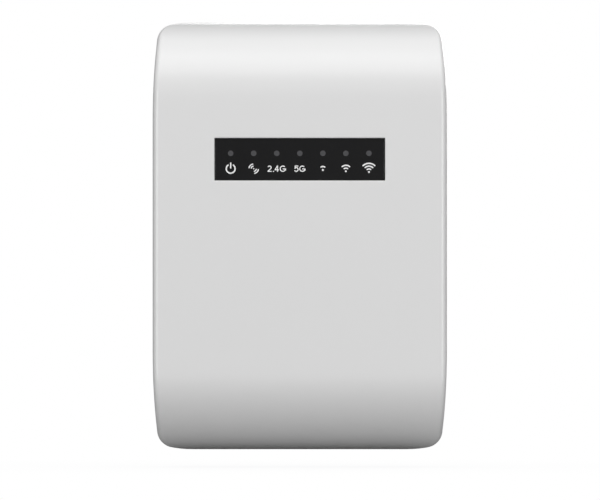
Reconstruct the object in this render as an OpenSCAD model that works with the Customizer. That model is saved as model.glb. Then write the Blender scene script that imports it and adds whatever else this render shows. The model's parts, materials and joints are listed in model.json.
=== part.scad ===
// Plug-in wifi range extender. X to the right, Y into the wall socket, Z up.
// The origin is between the two plug pins, on the face of the plug boss.

/* [Body] */
// Width of the body
body_w = 66; // [60:1:90]
// Height of the body
body_h = 96; // [88:1:130]
// Depth of the body, without the plug boss
body_d = 34; // [33:0.5:46]
// Thickness of both covers
wall = 2; // [1.6:0.1:2.2]
// Depth of the front cover, which is also the radius of its bend over top and foot
front_d = 17; // [15:0.5:18]
// Height of the pins above the middle of the body
plug_rise = 6; // [0:0.5:12]
// Radius of the long edges at the front
front_edge_r = 1.2; // [0.6:0.1:1.6]
// Radius of the edges at the back
back_edge_r = 3.4; // [2.5:0.1:4]

/* [Outline seen from the front] */
// Radius of the slow curve at each end of the sides
side_curve_r = 170; // [100:5:250]
// Angle that the slow curve of a side turns through
side_curve_a = 6.1; // [2:0.1:8]
// Radius of the tight corner
corner_r = 4; // [3.6:0.1:6]
// Radius of the slow curve at each end of the top and the foot
end_curve_r = 26; // [15:1:40]
// Angle at which the tight corner ends
corner_end_a = 79; // [70:1:85]

/* [Indicator panel] */
// Width of the panel's window
panel_w = 38.2; // [34:0.2:44]
// Height of the panel's window
panel_h = 9.5; // [8:0.1:12]
// Distance from the top of the body to the middle of the window
panel_drop = 30.85; // [27:0.05:34]
// Depth of the panel's face below the front of the cover
panel_recess = 0.4; // [0.2:0.1:0.8]
// Distance between indicators
lamp_pitch = 5.16; // [4:0.02:5.4]
// Radius of each light spot
lamp_r = 0.65; // [0.4:0.05:0.9]
// Height of the light spots above the middle of the window
lamp_rise = 1.35; // [0.5:0.05:2]
// Distance of the marks below the middle of the window
mark_drop = 2.1; // [1.5:0.05:2.6]
// Thickness of the printed marks
mark_t = 0.06; // [0.04:0.01:0.1]

/* [Plug] */
// Width of the plug boss
boss_w = 35.3; // [34:0.1:36]
// Height of the plug boss
boss_h = 13.7; // [13:0.1:14]
// Depth of the plug boss
boss_d = 17; // [12:0.5:18]
// Distance between the pins
pin_pitch = 19; // [18:0.5:20]
// Radius of the pins
pin_r = 2; // [1.9:0.05:2.4]
// Length of the pins beyond the boss
pin_len = 19; // [17:0.5:19]
// Length of the sleeve on each pin
sleeve_len = 10; // [8:0.5:11]
// Radius of the sleeves
sleeve_r = 1.8; // [1.7:0.05:1.8]

/* [Controls] */
// Height of the pair button
pair_h = 10; // [8:0.5:11]
// Width of the pair button
pair_w = 4.4; // [4:0.2:5]
// Travel of the pair button
pair_travel = 0.5; // [0.3:0.1:0.6]
// Radius of the power button
power_r = 2.5; // [2:0.1:2.8]
// Travel of the power button
power_travel = 1.2; // [0.8:0.1:1.4]
// Travel of the mode slider
mode_travel = 2; // [1.5:0.1:2.5]
// Travel of the reset plunger
reset_travel = 0.25; // [0.2:0.05:0.3]
// Radius of the reset pinhole
reset_hole_r = 0.9; // [0.8:0.05:1.2]
// Clearance round moving pieces and at the panel
gap = 0.15; // [0.1:0.05:0.2]

/* [Network socket] */
// Width of the opening for the network plug
port_w = 11.9; // [11.8:0.1:12.2]
// Depth of the opening, front to back
port_t = 7.2; // [6.8:0.1:7.6]

/* [Vents] */
// Width of a vent slot
vent_w = 1.6; // [1.2:0.1:2]
// Distance between vent slots
vent_pitch = 3.8; // [3.4:0.1:5]
// Number of slots in each side
side_vents = 11; // [4:1:13]
// Number of slots in the top
top_vents = 9; // [3:2:11]

/* [Boards and fasteners] */
// Thickness of the boards
board_t = 1.2; // [1:0.1:1.6]
// Radius of the case screws
screw_r = 1.25; // [1:0.05:1.4]
// Radius of the screw pillars
pillar_r = 3; // [2.8:0.1:3.2]
// Radius of the small board screws
board_screw_r = 0.9; // [0.7:0.05:1]

/* [Hidden] */
$fn = 64;
far = 200;

back_y = -boss_d;
front_y = back_y - body_d;
split_y = front_y + front_d;
mid_z = -plug_rise;
top_z = mid_z + body_h / 2;
foot_z = mid_z - body_h / 2;
side_x = body_w / 2;
face_y = front_y + wall;

panel_z = top_z - panel_drop;
panel_y = front_y + panel_recess;
lamp_z = panel_z + lamp_rise;
lamps_x = [for (i = [-3:3]) i * lamp_pitch];
flange = 2;
flange_t = 1;

// The main board stands just in front of the split, the power board near the back wall.
main_back_y = split_y - 1;
main_front_y = main_back_y - board_t;
main_half_w = side_x - wall - 3;
main_top_z = top_z - 9;
main_foot_z = foot_z + 5;
stand_h = 3;
power_back_y = back_y - wall - stand_h;
power_front_y = power_back_y - board_t;
power_half_w = 21;
power_top_z = top_z - 7;
power_foot_z = foot_z + 23;
sheet_t = 0.2;

lip_t = 1;
lip_depth = 1.8;
pillar_x = side_x - 8;
pillars = [for (x = [-pillar_x, pillar_x]) for (z = [foot_z + 14, top_z - 14]) [x, z]];
head_y = back_y - 13;
screw_tip_y = main_front_y - 7;
stands = [for (x = [-1, 1]) for (z = [power_foot_z + 2.7, power_top_z - 2.7])
    [x * (power_half_w - 2.7), z]];

// All side controls work along one line, this far in front of the main board.
control_y = main_front_y - 3.6;
pair_z = mid_z - 10;
power_z = mid_z - 22;
mode_z = mid_z - 10;
reset_z = mid_z - 22;
cap_x = side_x - 0.1;
cap_flange_t = 0.8;
inner_x = side_x - wall;
plunger_x = inner_x - 1.2;
mode_w = 2.4;
mode_h = 2.6;

port_y = main_back_y + 8.2;
jack_foot_z = foot_z + wall + 0.2;
jack_w = 16;
jack_h = 16;
jack_d = 13.4;
shell_t = 0.25;

copper = [0.78, 0.5, 0.3];
steel = [0.75, 0.76, 0.78];
black = [0.13, 0.13, 0.14];
board_green = [0.1, 0.33, 0.2];
white = [0.93, 0.93, 0.92];

// ---- Helpers ----

function arc(c, r, a0, a1, n) = [for (i = [0:n]) let (a = a0 + (a1 - a0) * i / n)
    c + r * [cos(a), sin(a)]];

// One corner of the outline, from the straight side to the straight top, at a distance inside it.
function corner(inset) =
    let (
        drop = side_curve_r * sin(side_curve_a)
            + corner_r * (sin(corner_end_a) - sin(side_curve_a))
            + end_curve_r * (1 - sin(corner_end_a)),
        ca = [side_x - side_curve_r, body_h / 2 - drop],
        cb = ca + (side_curve_r - corner_r) * [cos(side_curve_a), sin(side_curve_a)],
        cc = cb + (corner_r - end_curve_r) * [cos(corner_end_a), sin(corner_end_a)]
    )
    concat(
        arc(ca, side_curve_r - inset, 0, side_curve_a, 5),
        arc(cb, corner_r - inset, side_curve_a + 6, corner_end_a - 6, 6),
        arc(cc, end_curve_r - inset, corner_end_a, 90, 3)
    );

module outline(inset) {
    c = corner(inset);
    n = len(c) - 1;
    polygon(concat(
        c,
        [for (i = [n:-1:0]) [-c[i][0], c[i][1]]],
        [for (i = [0:n]) [-c[i][0], -c[i][1]]],
        [for (i = [n:-1:0]) [c[i][0], -c[i][1]]]
    ));
}

// A rectangle from [0, 0] to [w, h] with one radius at its left and another at its right.
module two_radius_rect(w, h, left_r, right_r) {
    for (y = [left_r, h - left_r]) translate([left_r, y]) circle(left_r);
    for (y = [right_r, h - right_r]) translate([w - right_r, y]) circle(right_r);
    translate([0, left_r]) square([w / 2, h - 2 * left_r]);
    translate([w / 2, right_r]) square([w / 2, h - 2 * right_r]);
    translate([left_r, 0]) square([w - left_r - right_r, h]);
}

// The body's outer form, shrunk by inset on every side.
module form(inset) {
    intersection() {
        translate([0, back_y - inset, mid_z]) rotate([90, 0, 0])
            linear_extrude(body_d - 2 * inset) outline(inset);
        translate([-far / 2, front_y + inset, foot_z + inset]) rotate([90, 0, 90])
            linear_extrude(far)
                two_radius_rect(body_d - 2 * inset, body_h - 2 * inset,
                    front_d - inset, back_edge_r - inset / 2);
        translate([side_x - inset, front_y + inset, -far / 2]) rotate([0, 0, 90])
            linear_extrude(far)
                two_radius_rect(body_d - 2 * inset, body_w - 2 * inset,
                    max(front_edge_r - inset, 0.3), back_edge_r - inset / 2);
    }
}

// Everything between two depths.
module slab(y0, y1) {
    translate([-far / 2, y0, -far / 2]) cube([far, y1 - y0, far]);
}

// A cylinder along Y, from y0 to y1.
module rod_y(x, z, r, y0, y1) {
    translate([x, y1, z]) rotate([90, 0, 0]) cylinder(h = y1 - y0, r = r);
}

// A cylinder along X, from x0 to x1.
module rod_x(y, z, r, x0, x1) {
    translate([x0, y, z]) rotate([0, 90, 0]) cylinder(h = x1 - x0, r = r);
}

// A box given by its middle in X and Z, its size there, and its two depths.
module block(x, z, w, h, y0, y1) {
    translate([x - w / 2, y0, z - h / 2]) cube([w, y1 - y0, h]);
}

// A rectangle with round ends, w wide and h high, middle at the origin.
module stadium(w, h) {
    r = min(w, h) / 2;
    square([w > h ? w - 2 * r : w, w > h ? h : h - 2 * r], center = true);
    for (s = [-1, 1])
        translate(w > h ? [s * (w / 2 - r), 0] : [0, s * (h / 2 - r)]) circle(r);
}

// A flat figure raised along Y, from y0 to y1.
module raised(y0, y1) {
    translate([0, y1, 0]) rotate([90, 0, 0]) linear_extrude(y1 - y0) children();
}

// A figure in Y and Z carried along X, from x0 to x1.
module through_side(x0, x1) {
    translate([x0, 0, 0]) rotate([90, 0, 90]) linear_extrude(x1 - x0) children();
}

function unit(v) = v / norm(v);
function turned(v) = [-v[1], v[0]];
function way(p, i) = unit(p[min(i + 1, len(p) - 1)] - p[max(i - 1, 0)]);

// A line of even width along a list of points.
module stroke(p, w) {
    last = len(p) - 1;
    polygon(concat(
        [for (i = [0:last]) p[i] + turned(way(p, i)) * w / 2],
        [for (i = [last:-1:0]) p[i] - turned(way(p, i)) * w / 2]
    ));
}

// A round lead swept along a smooth curve through its route.
lead_sides = 8;
function cross3(a, b) = [a[1] * b[2] - a[2] * b[1], a[2] * b[0] - a[0] * b[2],
    a[0] * b[1] - a[1] * b[0]];
function between(a, b, c, d, t) = 0.5 * (2 * b + (c - a) * t
    + (2 * a - 5 * b + 4 * c - d) * t * t + (3 * b - a - 3 * c + d) * t * t * t);
function smooth_route(p, n) = let (m = len(p) - 1) concat(
    [for (i = [0:m - 1]) for (k = [0:n - 1])
        between(p[max(i - 1, 0)], p[i], p[i + 1], p[min(i + 2, m)], k / n)],
    [p[m]]);

module lead(route, r) {
    p = smooth_route(route, 4);
    last = len(p) - 1;
    rings = [for (i = [0:last])
        let (
            w = way(p, i),
            u = unit(cross3(w, [0.13, 0.31, 0.94])),
            v = cross3(w, u)
        )
        for (k = [0:lead_sides - 1])
            p[i] + r * (cos(360 * k / lead_sides) * u + sin(360 * k / lead_sides) * v)];
    polyhedron(
        points = rings,
        faces = concat(
            [[for (k = [0:lead_sides - 1]) k]],
            [for (i = [0:last - 1]) for (k = [0:lead_sides - 1])
                let (a = i * lead_sides, q = (k + 1) % lead_sides)
                [a + k, a + lead_sides + k, a + lead_sides + q, a + q]],
            [[for (k = [lead_sides - 1:-1:0]) last * lead_sides + k]]
        )
    );
}

// ---- Covers ----

module front_cover() {
    color(white) difference() {
        union() {
            difference() {
                intersection() {
                    form(0);
                    slab(front_y - 1, split_y);
                }
                form(wall);
            }
            for (p = pillars)
                rod_y(p[0], p[1], pillar_r, face_y - 0.8, main_front_y);
        }
        block(0, panel_z, panel_w, panel_h, front_y - 1, face_y + 1);
        for (p = pillars)
            rod_y(p[0], p[1], screw_r, screw_tip_y - 1, main_front_y + 1);
        through_side(inner_x - 1, side_x + 1) translate([control_y, pair_z])
            stadium(pair_w + 2 * gap, pair_h + 2 * gap);
        rod_x(control_y, power_z, power_r + gap, inner_x - 1, side_x + 1);
        through_side(-side_x - 1, -inner_x + 1)
            translate([control_y, mode_z + mode_travel / 2])
                square([mode_w + 2 * gap, mode_h + mode_travel + 2 * gap], center = true);
        rod_x(control_y, reset_z, reset_hole_r, -side_x - 1, -inner_x + 1);
    }
}

module boss_outline(inset) {
    stadium(boss_w - 2 * inset, boss_h - 2 * inset);
}

module rear_cover() {
    boss_end = 3;
    color(white) difference() {
        union() {
            difference() {
                intersection() {
                    form(0);
                    slab(split_y, back_y);
                }
                form(wall);
                raised(back_y - wall - 1, back_y + 1) boss_outline(wall);
            }
            // The lip that the front cover fits over.
            intersection() {
                difference() {
                    form(wall + gap);
                    form(wall + gap + lip_t);
                }
                slab(split_y - lip_depth, split_y + 1.5);
            }
            intersection() {
                difference() {
                    form(wall - 0.2);
                    form(wall + gap + lip_t);
                }
                slab(split_y + 0.3, split_y + 1.5);
            }
            // The plug boss, hollow behind its end.
            difference() {
                raised(back_y - wall, 0) boss_outline(0);
                raised(back_y - wall - 1, -boss_end) boss_outline(wall);
            }
            for (p = pillars)
                rod_y(p[0], p[1], pillar_r, main_back_y, back_y - 0.5);
            for (p = stands)
                rod_y(p[0], p[1], 2.2, power_back_y, back_y - 0.5);
        }
        for (s = [-1, 1])
            rod_y(s * pin_pitch / 2, 0, sleeve_r, -boss_end - 1, 1);
        for (p = pillars) {
            rod_y(p[0], p[1], screw_r + gap, main_back_y - 1, back_y);
            rod_y(p[0], p[1], 2 * screw_r + gap, head_y, back_y + 1);
        }
        for (p = stands)
            rod_y(p[0], p[1], board_screw_r, power_back_y - 1, back_y - wall + 0.8);
        vents();
        // The opening for the network plug.
        translate([-port_w / 2 - 0.4, port_y - port_t / 2 - 0.4, foot_z - 1])
            cube([port_w + 0.8, port_t + 0.8, wall + 2]);
        // The lip is left out where the socket stands.
        block(0, foot_z + wall + lip_t, jack_w + 4 * gap, 2 * lip_t, split_y - lip_depth - 1,
            back_y - wall);
        // A shallow bare field for a label.
        block(0, mid_z - 22, 34, 18, back_y - 0.3, back_y + 1);
    }
}

module vents() {
    vent_y0 = split_y + 3.5;
    vent_y1 = back_y - 5;
    for (i = [0:side_vents - 1])
        translate([-far / 2, vent_y0, mid_z + (i - (side_vents - 1) / 2) * vent_pitch])
            difference() {
                translate([0, 0, -vent_w / 2]) cube([far, vent_y1 - vent_y0, vent_w]);
                translate([far / 2 - inner_x + 1, -1, -vent_w])
                    cube([2 * inner_x - 2, far, 2 * vent_w]);
            }
    for (i = [0:top_vents - 1])
        translate([(i - (top_vents - 1) / 2) * vent_pitch - vent_w / 2, vent_y0, top_z - wall - 1])
            cube([vent_w, vent_y1 - vent_y0, wall + 2]);
}

// ---- Indicators ----

module indicator_panel() {
    color([0.07, 0.07, 0.08]) difference() {
        union() {
            block(0, panel_z, panel_w - 2 * gap, panel_h - 2 * gap, panel_y, face_y + 0.1);
            block(0, panel_z, panel_w + 2 * flange, panel_h + 2 * flange,
                face_y, face_y + flange_t);
        }
        for (x = lamps_x)
            rod_y(x, lamp_z, lamp_r + 0.05, panel_y - 1, face_y + flange_t + 1);
    }
}

// A mark is drawn round its own middle, about 2.6 mm across.
module power_mark() {
    stroke(arc([0, 0], 1.1, 125, 415, 20), 0.36);
    stroke([[0, 0.15], [0, 1.42]], 0.36);
}

module link_mark() {
    circle(0.2);
    for (s = [0, 180]) rotate(s + 45) {
        stroke(arc([0, 0], 0.62, 50, 130, 6), 0.24);
        stroke(arc([0, 0], 1.12, 42, 138, 9), 0.26);
    }
}

module signal_mark(arcs) {
    translate([0, -0.16 * arcs]) {
        circle(0.33);
        for (i = [1:arcs])
            stroke(arc([0, -0.1], 0.12 + 0.55 * i, 45, 135, 5 + 2 * i), 0.26);
    }
}

glyph_h = 1.5;
glyph_w = 0.98;
pen = 0.24;
module two_glyph() {
    r = (glyph_w - pen) / 2;
    stroke(concat(
        arc([glyph_w / 2, glyph_h - pen / 2 - r], r, 165, -35, 9),
        [[pen / 2 + 0.03, pen * 0.75]]), pen);
    square([glyph_w, pen]);
}
module four_glyph() {
    stroke([[glyph_w * 0.72, 0], [glyph_w * 0.72, glyph_h]], pen);
    stroke([[0, glyph_h * 0.32], [glyph_w * 1.05, glyph_h * 0.32]], pen * 0.9);
    stroke([[glyph_w * 0.1, glyph_h * 0.32], [glyph_w * 0.68, glyph_h * 0.97]], pen * 0.9);
}
module five_glyph() {
    r = glyph_h * 0.3;
    stroke([[glyph_w * 0.16, glyph_h - pen / 2], [glyph_w * 0.95, glyph_h - pen / 2]], pen);
    stroke([[glyph_w * 0.22, glyph_h], [glyph_w * 0.14, glyph_h * 0.5]], pen * 0.9);
    stroke(arc([glyph_w * 0.46, r + pen / 2], r, 135, -150, 12), pen);
}
module g_glyph() {
    r = (glyph_h - pen) / 2;
    stroke(arc([r + pen / 2, glyph_h / 2], r, 45, 340, 14), pen);
    stroke([[r + pen * 0.4, glyph_h * 0.46], [2 * r + pen, glyph_h * 0.46]], pen * 0.9);
    stroke([[2 * r + pen * 0.5, glyph_h * 0.5], [2 * r + pen * 0.5, glyph_h * 0.2]], pen);
}

module low_band_mark() {
    translate([-2.2, -glyph_h / 2]) {
        two_glyph();
        translate([1.3, 0]) square(pen);
        translate([1.68, 0]) four_glyph();
        translate([2.9, 0]) g_glyph();
    }
}

module high_band_mark() {
    translate([-1.3, -glyph_h / 2]) {
        five_glyph();
        translate([1.16, 0]) g_glyph();
    }
}

module panel_marks() {
    color("white") raised(panel_y - mark_t, panel_y) translate([0, panel_z - mark_drop]) {
        translate([lamps_x[0], 0]) power_mark();
        translate([lamps_x[1], 0]) link_mark();
        translate([lamps_x[2], 0]) low_band_mark();
        translate([lamps_x[3], 0]) high_band_mark();
        for (i = [1:3]) translate([lamps_x[3 + i], 0]) signal_mark(i);
    }
}

guide_bar_y = face_y + flange_t + 0.6;
guide_bar_t = 1.2;
module light_guide() {
    color([0.85, 0.88, 0.9, 0.6]) {
        for (x = lamps_x) {
            rod_y(x, lamp_z, lamp_r, panel_y + 0.02, guide_bar_y + 0.1);
            rod_y(x, lamp_z, lamp_r + 0.45, guide_bar_y, main_front_y - 1.1);
        }
        block(0, lamp_z, 6 * lamp_pitch + 4, 3.4, guide_bar_y, guide_bar_y + guide_bar_t);
    }
}

module light_shield() {
    color(black) difference() {
        block(0, lamp_z, 6 * lamp_pitch + 5, 5.4, guide_bar_y + guide_bar_t, main_front_y);
        for (x = lamps_x)
            rod_y(x, lamp_z, lamp_r + 0.6, face_y, main_front_y + 1);
    }
}

module indicator_lamps() {
    color([0.9, 0.9, 0.7])
        for (x = lamps_x) block(x, lamp_z, 1.6, 0.8, main_front_y - 0.8, main_front_y);
}

// ---- Main board ----

module main_board() {
    link_pin_r = 0.32;
    color(board_green) difference() {
        block(0, (main_top_z + main_foot_z) / 2, 2 * main_half_w, main_top_z - main_foot_z,
            main_front_y, main_back_y);
        for (p = pillars) rod_y(p[0], p[1], screw_r + gap, main_front_y - 1, main_back_y + 1);
        for (x = link_pins) rod_y(x, link_z, link_pin_r, main_front_y - 1, main_back_y + 1);
    }
}

chip_z = mid_z - 6;
module main_chip() {
    color(black) block(0, chip_z, 13, 13, main_front_y - 1.2, main_front_y);
}

module heat_pad() {
    color([0.5, 0.6, 0.68]) block(0, chip_z, 12, 12, main_front_y - 1.7, main_front_y - 1.2);
}

module heat_sink() {
    sink_w = 17;
    fins = 6;
    fin_t = 1;
    base_y = main_front_y - 1.7;
    color([0.7, 0.72, 0.74]) {
        block(0, chip_z, sink_w, sink_w, base_y - 1.5, base_y);
        for (i = [0:fins - 1])
            block(-sink_w / 2 + fin_t / 2 + i * (sink_w - fin_t) / (fins - 1), chip_z,
                fin_t, sink_w, base_y - 6.5, base_y - 1.4);
    }
}

module memory_chip() {
    color(black) block(0, link_z - 10.2, 10, 7, main_front_y - 1.1, main_front_y);
}

cans = [[-17, chip_z + 1], [17, chip_z + 8]];
can_w = 13;
can_h = 16;
can_d = 2.6;
module radio_chips() {
    color(black) for (c = cans) block(c[0], c[1], 7, 7, main_front_y - 0.9, main_front_y);
}

module shield_frames() {
    color(steel) for (c = cans) difference() {
        block(c[0], c[1], can_w, can_h, main_front_y - can_d + 0.3, main_front_y);
        block(c[0], c[1], can_w - 0.6, can_h - 0.6, main_front_y - can_d - 1, main_front_y + 1);
    }
}

module shield_lids() {
    color([0.82, 0.82, 0.83]) for (c = cans) difference() {
        block(c[0], c[1], can_w + 0.6, can_h + 0.6, main_front_y - can_d, main_front_y - 0.8);
        block(c[0], c[1], can_w, can_h, main_front_y - can_d + 0.3, main_front_y);
    }
}

// ---- Antennas ----

antenna_t = 0.8;
antenna_h = 32;
antenna_w = 8;
antenna_z = top_z - front_d - 1 - antenna_h / 2;
antenna_x = inner_x - 2.2;
socket_z = chip_z + 21;
module antenna(side) {
    color([0.2, 0.42, 0.28]) block(side * antenna_x, antenna_z, antenna_t, antenna_h,
        face_y + 0.3, face_y + 0.3 + antenna_w);
    color(copper) block(side * (antenna_x - antenna_t / 2 - 0.05), antenna_z, 0.1,
        antenna_h - 4, face_y + 1.5, face_y - 1 + antenna_w);
}
module antenna_left() { antenna(-1); }
module antenna_right() { antenna(1); }

lead_r = 0.55;
lead_end_x = antenna_x - antenna_t / 2 - 0.1 - lead_r;
lead_route = [
    [lead_end_x, face_y + 4, antenna_z + 2],
    [lead_end_x - 0.6, face_y + 4, antenna_z + 7],
    [lead_end_x - 2.6, face_y + 5, antenna_z + 9.5],
    [lead_end_x - 5, face_y + 7, antenna_z + 8],
    [lead_end_x - 6, main_front_y - 3.2, socket_z + 4.4],
    [lead_end_x - 6, main_front_y - 1.4, socket_z + 1.8]
];
module antenna_lead_right() {
    color([0.15, 0.15, 0.16]) lead(lead_route, lead_r);
}
module antenna_lead_left() {
    mirror([1, 0, 0]) antenna_lead_right();
}

module antenna_sockets() {
    color([0.83, 0.68, 0.35]) for (s = [-1, 1]) {
        rod_y(s * (lead_end_x - 6), socket_z, 1.3, main_front_y - 1.9, main_front_y);
        block(s * (lead_end_x - 6), socket_z, 2.6, 2.6, main_front_y - 0.4, main_front_y);
    }
}

// ---- Network socket ----

module jack_housing() {
    color(black) difference() {
        block(0, jack_foot_z + jack_h / 2, jack_w - 2 * shell_t - 0.1, jack_h - 2 * shell_t - 0.1,
            main_back_y + 0.1, main_back_y + jack_d - shell_t - 0.05);
        translate([-port_w / 2, port_y - port_t / 2, jack_foot_z - 1])
            cube([port_w, port_t, jack_h - 2.5]);
        // The notch for the plug's latch, on the side of the board.
        translate([-3.2, port_y - port_t / 2 - 2, jack_foot_z - 1])
            cube([6.4, port_t / 2 + 2, 9]);
    }
}

module jack_shell() {
    color(steel) difference() {
        block(0, jack_foot_z + jack_h / 2, jack_w, jack_h, main_back_y, main_back_y + jack_d);
        block(0, jack_foot_z + jack_h / 2, jack_w - 2 * shell_t, jack_h - 2 * shell_t,
            main_back_y - 1, main_back_y + jack_d - shell_t);
        translate([-port_w / 2 - 0.3, port_y - port_t / 2 - 2.3, jack_foot_z - 1])
            cube([port_w + 0.6, port_t + 2.6, 2]);
    }
}

contact_pitch = 1.02;
module jack_contacts() {
    color([0.85, 0.7, 0.3]) for (i = [0:7])
        translate([(i - 3.5) * contact_pitch - 0.18, port_y + port_t / 2 - 1.1,
                jack_foot_z + 3.5])
            rotate([12, 0, 0]) cube([0.36, 0.3, 8.4]);
}

module network_transformer() {
    color(black) block(16, foot_z + 12, 10, 12, main_back_y, main_back_y + 3.6);
}

// ---- Controls ----

module pair_button() {
    color(white) {
        through_side(inner_x - 0.1, cap_x) translate([control_y, pair_z])
            stadium(pair_w, pair_h);
        through_side(inner_x - cap_flange_t - gap, inner_x - gap)
            translate([control_y, pair_z]) stadium(pair_w + 1, pair_h + 1.6);
        through_side(inner_x - gap - 0.1, inner_x) translate([control_y, pair_z])
            stadium(pair_w, pair_h);
    }
}

button_back_x = inner_x - cap_flange_t - gap;
switch_front_x = main_half_w;
module pair_plunger() {
    color([0.85, 0.3, 0.2])
        rod_x(control_y, pair_z, 1.2, switch_front_x - 1.5, button_back_x);
}

module pair_switch() {
    color(black) difference() {
        block(switch_front_x - 2.75, pair_z, 5.5, 6.2, control_y - 2, main_front_y);
        rod_x(control_y, pair_z, 1.25, switch_front_x - 1.5 - pair_travel - 0.3,
            switch_front_x + 1);
    }
}

module power_button() {
    color(white) {
        rod_x(control_y, power_z, power_r, inner_x - gap - 0.1, cap_x);
        rod_x(control_y, power_z, power_r + 0.5, button_back_x, inner_x - gap);
        rod_x(control_y, power_z, 1.4, switch_front_x - 2, button_back_x + 0.1);
    }
}

module power_switch() {
    color([0.2, 0.2, 0.22]) difference() {
        block(switch_front_x - 4.5, power_z, 9, 8, control_y - 3.2, main_front_y);
        rod_x(control_y, power_z, 1.45, switch_front_x - 2 - power_travel - 0.3,
            switch_front_x + 1);
    }
}

module mode_slider() {
    color([0.25, 0.25, 0.27]) {
        block(-(cap_x - 0.4 + switch_front_x - 1) / 2, mode_z, cap_x - 0.4 - switch_front_x + 1,
            mode_h, control_y - mode_w / 2, control_y + mode_w / 2);
        block(-switch_front_x + 1.5, mode_z, 1.4, mode_h + 1.2,
            control_y - mode_w / 2 - 0.5, control_y + mode_w / 2 + 0.5);
    }
}

module mode_switch() {
    slot_w = mode_w + 2 * gap;
    cavity_w = mode_w + 1 + 2 * gap;
    middle_z = mode_z + mode_travel / 2;
    color(steel) difference() {
        block(-switch_front_x + 2, middle_z, 4, 9.4, control_y - 2.6, main_front_y);
        block(-switch_front_x + 0.2, middle_z, 1.4 + 0.2, mode_h + mode_travel + 2 * gap,
            control_y - slot_w / 2, control_y + slot_w / 2);
        block(-switch_front_x + 1.5, middle_z, 1.4 + 2 * gap,
            mode_h + 1.2 + mode_travel + 2 * gap,
            control_y - cavity_w / 2, control_y + cavity_w / 2);
    }
}

module reset_plunger() {
    color([0.85, 0.3, 0.2])
        rod_x(control_y, reset_z, 0.8, -plunger_x, -switch_front_x + 1.2);
}

module reset_switch() {
    color(black) difference() {
        block(-switch_front_x + 2.2, reset_z, 4.4, 5, control_y - 1.8, main_front_y);
        rod_x(control_y, reset_z, 0.85, -switch_front_x - 1,
            -switch_front_x + 1.2 + reset_travel + 0.3);
    }
}

// ---- Power board ----

link_z = power_foot_z + 2.2;
link_pins = [for (i = [0:3]) -3.81 + i * 2.54];
module power_board() {
    color([0.72, 0.62, 0.38]) difference() {
        block(0, (power_top_z + power_foot_z) / 2, 2 * power_half_w,
            power_top_z - power_foot_z, power_front_y, power_back_y);
        for (s = [-1, 1])
            rod_y(s * pin_pitch / 2, 0, tail_r, power_front_y - 1, power_back_y + 1);
        for (p = stands)
            rod_y(p[0], p[1], board_screw_r + gap, power_front_y - 1, power_back_y + 1);
        for (x = link_pins) rod_y(x, link_z, 0.32, power_front_y - 1, power_back_y + 1);
    }
}

module board_link() {
    color([0.85, 0.75, 0.4])
        for (x = link_pins) rod_y(x, link_z, 0.32, main_front_y - 0.6, power_back_y + 0.6);
    color(black) difference() {
        block(0, link_z, 10.2, 2.5, main_back_y, main_back_y + 8.5);
        for (x = link_pins) rod_y(x, link_z, 0.3, main_back_y - 1, power_back_y);
    }
}

module insulation_sheet() {
    sheet_foot_z = link_z + 2;
    color([0.9, 0.85, 0.6]) block(0, (main_top_z + sheet_foot_z) / 2, 2 * power_half_w - 2,
        main_top_z - sheet_foot_z - 1, main_back_y + 0.1, main_back_y + 0.1 + sheet_t);
}

core_x = -11;
core_z = 17;
core_w = 17;
core_d = 9.2;
core_h = 8;
leg_t = 2.2;
module transformer_core() {
    window_w = (core_w - 4 * leg_t) / 2;
    color([0.2, 0.2, 0.21]) difference() {
        block(core_x, core_z, core_w, core_h, power_front_y - core_d, power_front_y - 0.3);
        for (s = [-1, 1])
            block(core_x + s * (leg_t + window_w / 2), core_z, window_w, core_h + 1,
                power_front_y - core_d + leg_t, power_front_y - 0.3 - leg_t + 0.6);
    }
}

module transformer_coil() {
    coil_w = core_w - 2 * leg_t - 0.2;
    color([0.85, 0.7, 0.2]) difference() {
        block(core_x, core_z, coil_w, core_h + 7.2, power_front_y - core_d + leg_t + 0.1,
            power_front_y - leg_t + 0.2);
        block(core_x, core_z, 2 * leg_t + 0.1, core_h + 0.1, power_front_y - core_d,
            power_front_y);
    }
    color(black) for (s = [-1, 1])
        block(core_x, core_z + s * (core_h / 2 + 2.8), coil_w, 1.6, power_front_y - leg_t + 0.1,
            power_front_y);
}

module lying_capacitor(x, z, r, h) {
    translate([x, power_front_y - r - 0.1, z]) rotate_extrude() polygon([
        [0, 0], [r - 0.5, 0], [r, 0.4], [r, 1.2], [r - 0.3, 1.6], [r, 2],
        [r, h - 0.3], [r - 0.3, h], [0, h]
    ]);
}
module bulk_capacitors() {
    color([0.15, 0.17, 0.3]) for (x = [5.5, 14.5]) lying_capacitor(x, 8, 4, 13);
}
module output_capacitor() {
    color([0.12, 0.13, 0.15]) lying_capacitor(14, -27, 3.2, 11);
}
module line_choke() {
    color([0.2, 0.45, 0.3]) translate([-2, power_front_y, 30]) rotate([90, 0, 0])
        rotate_extrude() polygon([
            [0, 0], [3.6, 0], [3.6, 1], [3, 1.4], [3, 6.2], [3.6, 6.6], [3.6, 7.6], [0, 7.6]
        ]);
}
module line_fuse() {
    color([0.8, 0.78, 0.7]) translate([17, power_front_y - 1.8, -9]) {
        cylinder(h = 10, r = 1.6);
        for (z = [0, 8]) translate([0, 0, z]) cylinder(h = 2, r = 1.75);
    }
}
module rectifier() {
    color(black) block(8, 29, 6.4, 5, power_front_y - 2.6, power_front_y);
}
module control_chip() {
    color(black) block(-15.5, -9, 6.4, 9, power_front_y - 3.3, power_front_y);
}
module coupler_chip() {
    color([0.9, 0.9, 0.88]) block(-6, -14, 6.4, 4.6, power_front_y - 3.4, power_front_y);
}
module noise_capacitor() {
    color([0.2, 0.4, 0.7]) translate([4, power_front_y - 4.2, -15.7])
        cylinder(h = 3.4, r = 4);
}

// ---- Plug and fasteners ----

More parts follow.
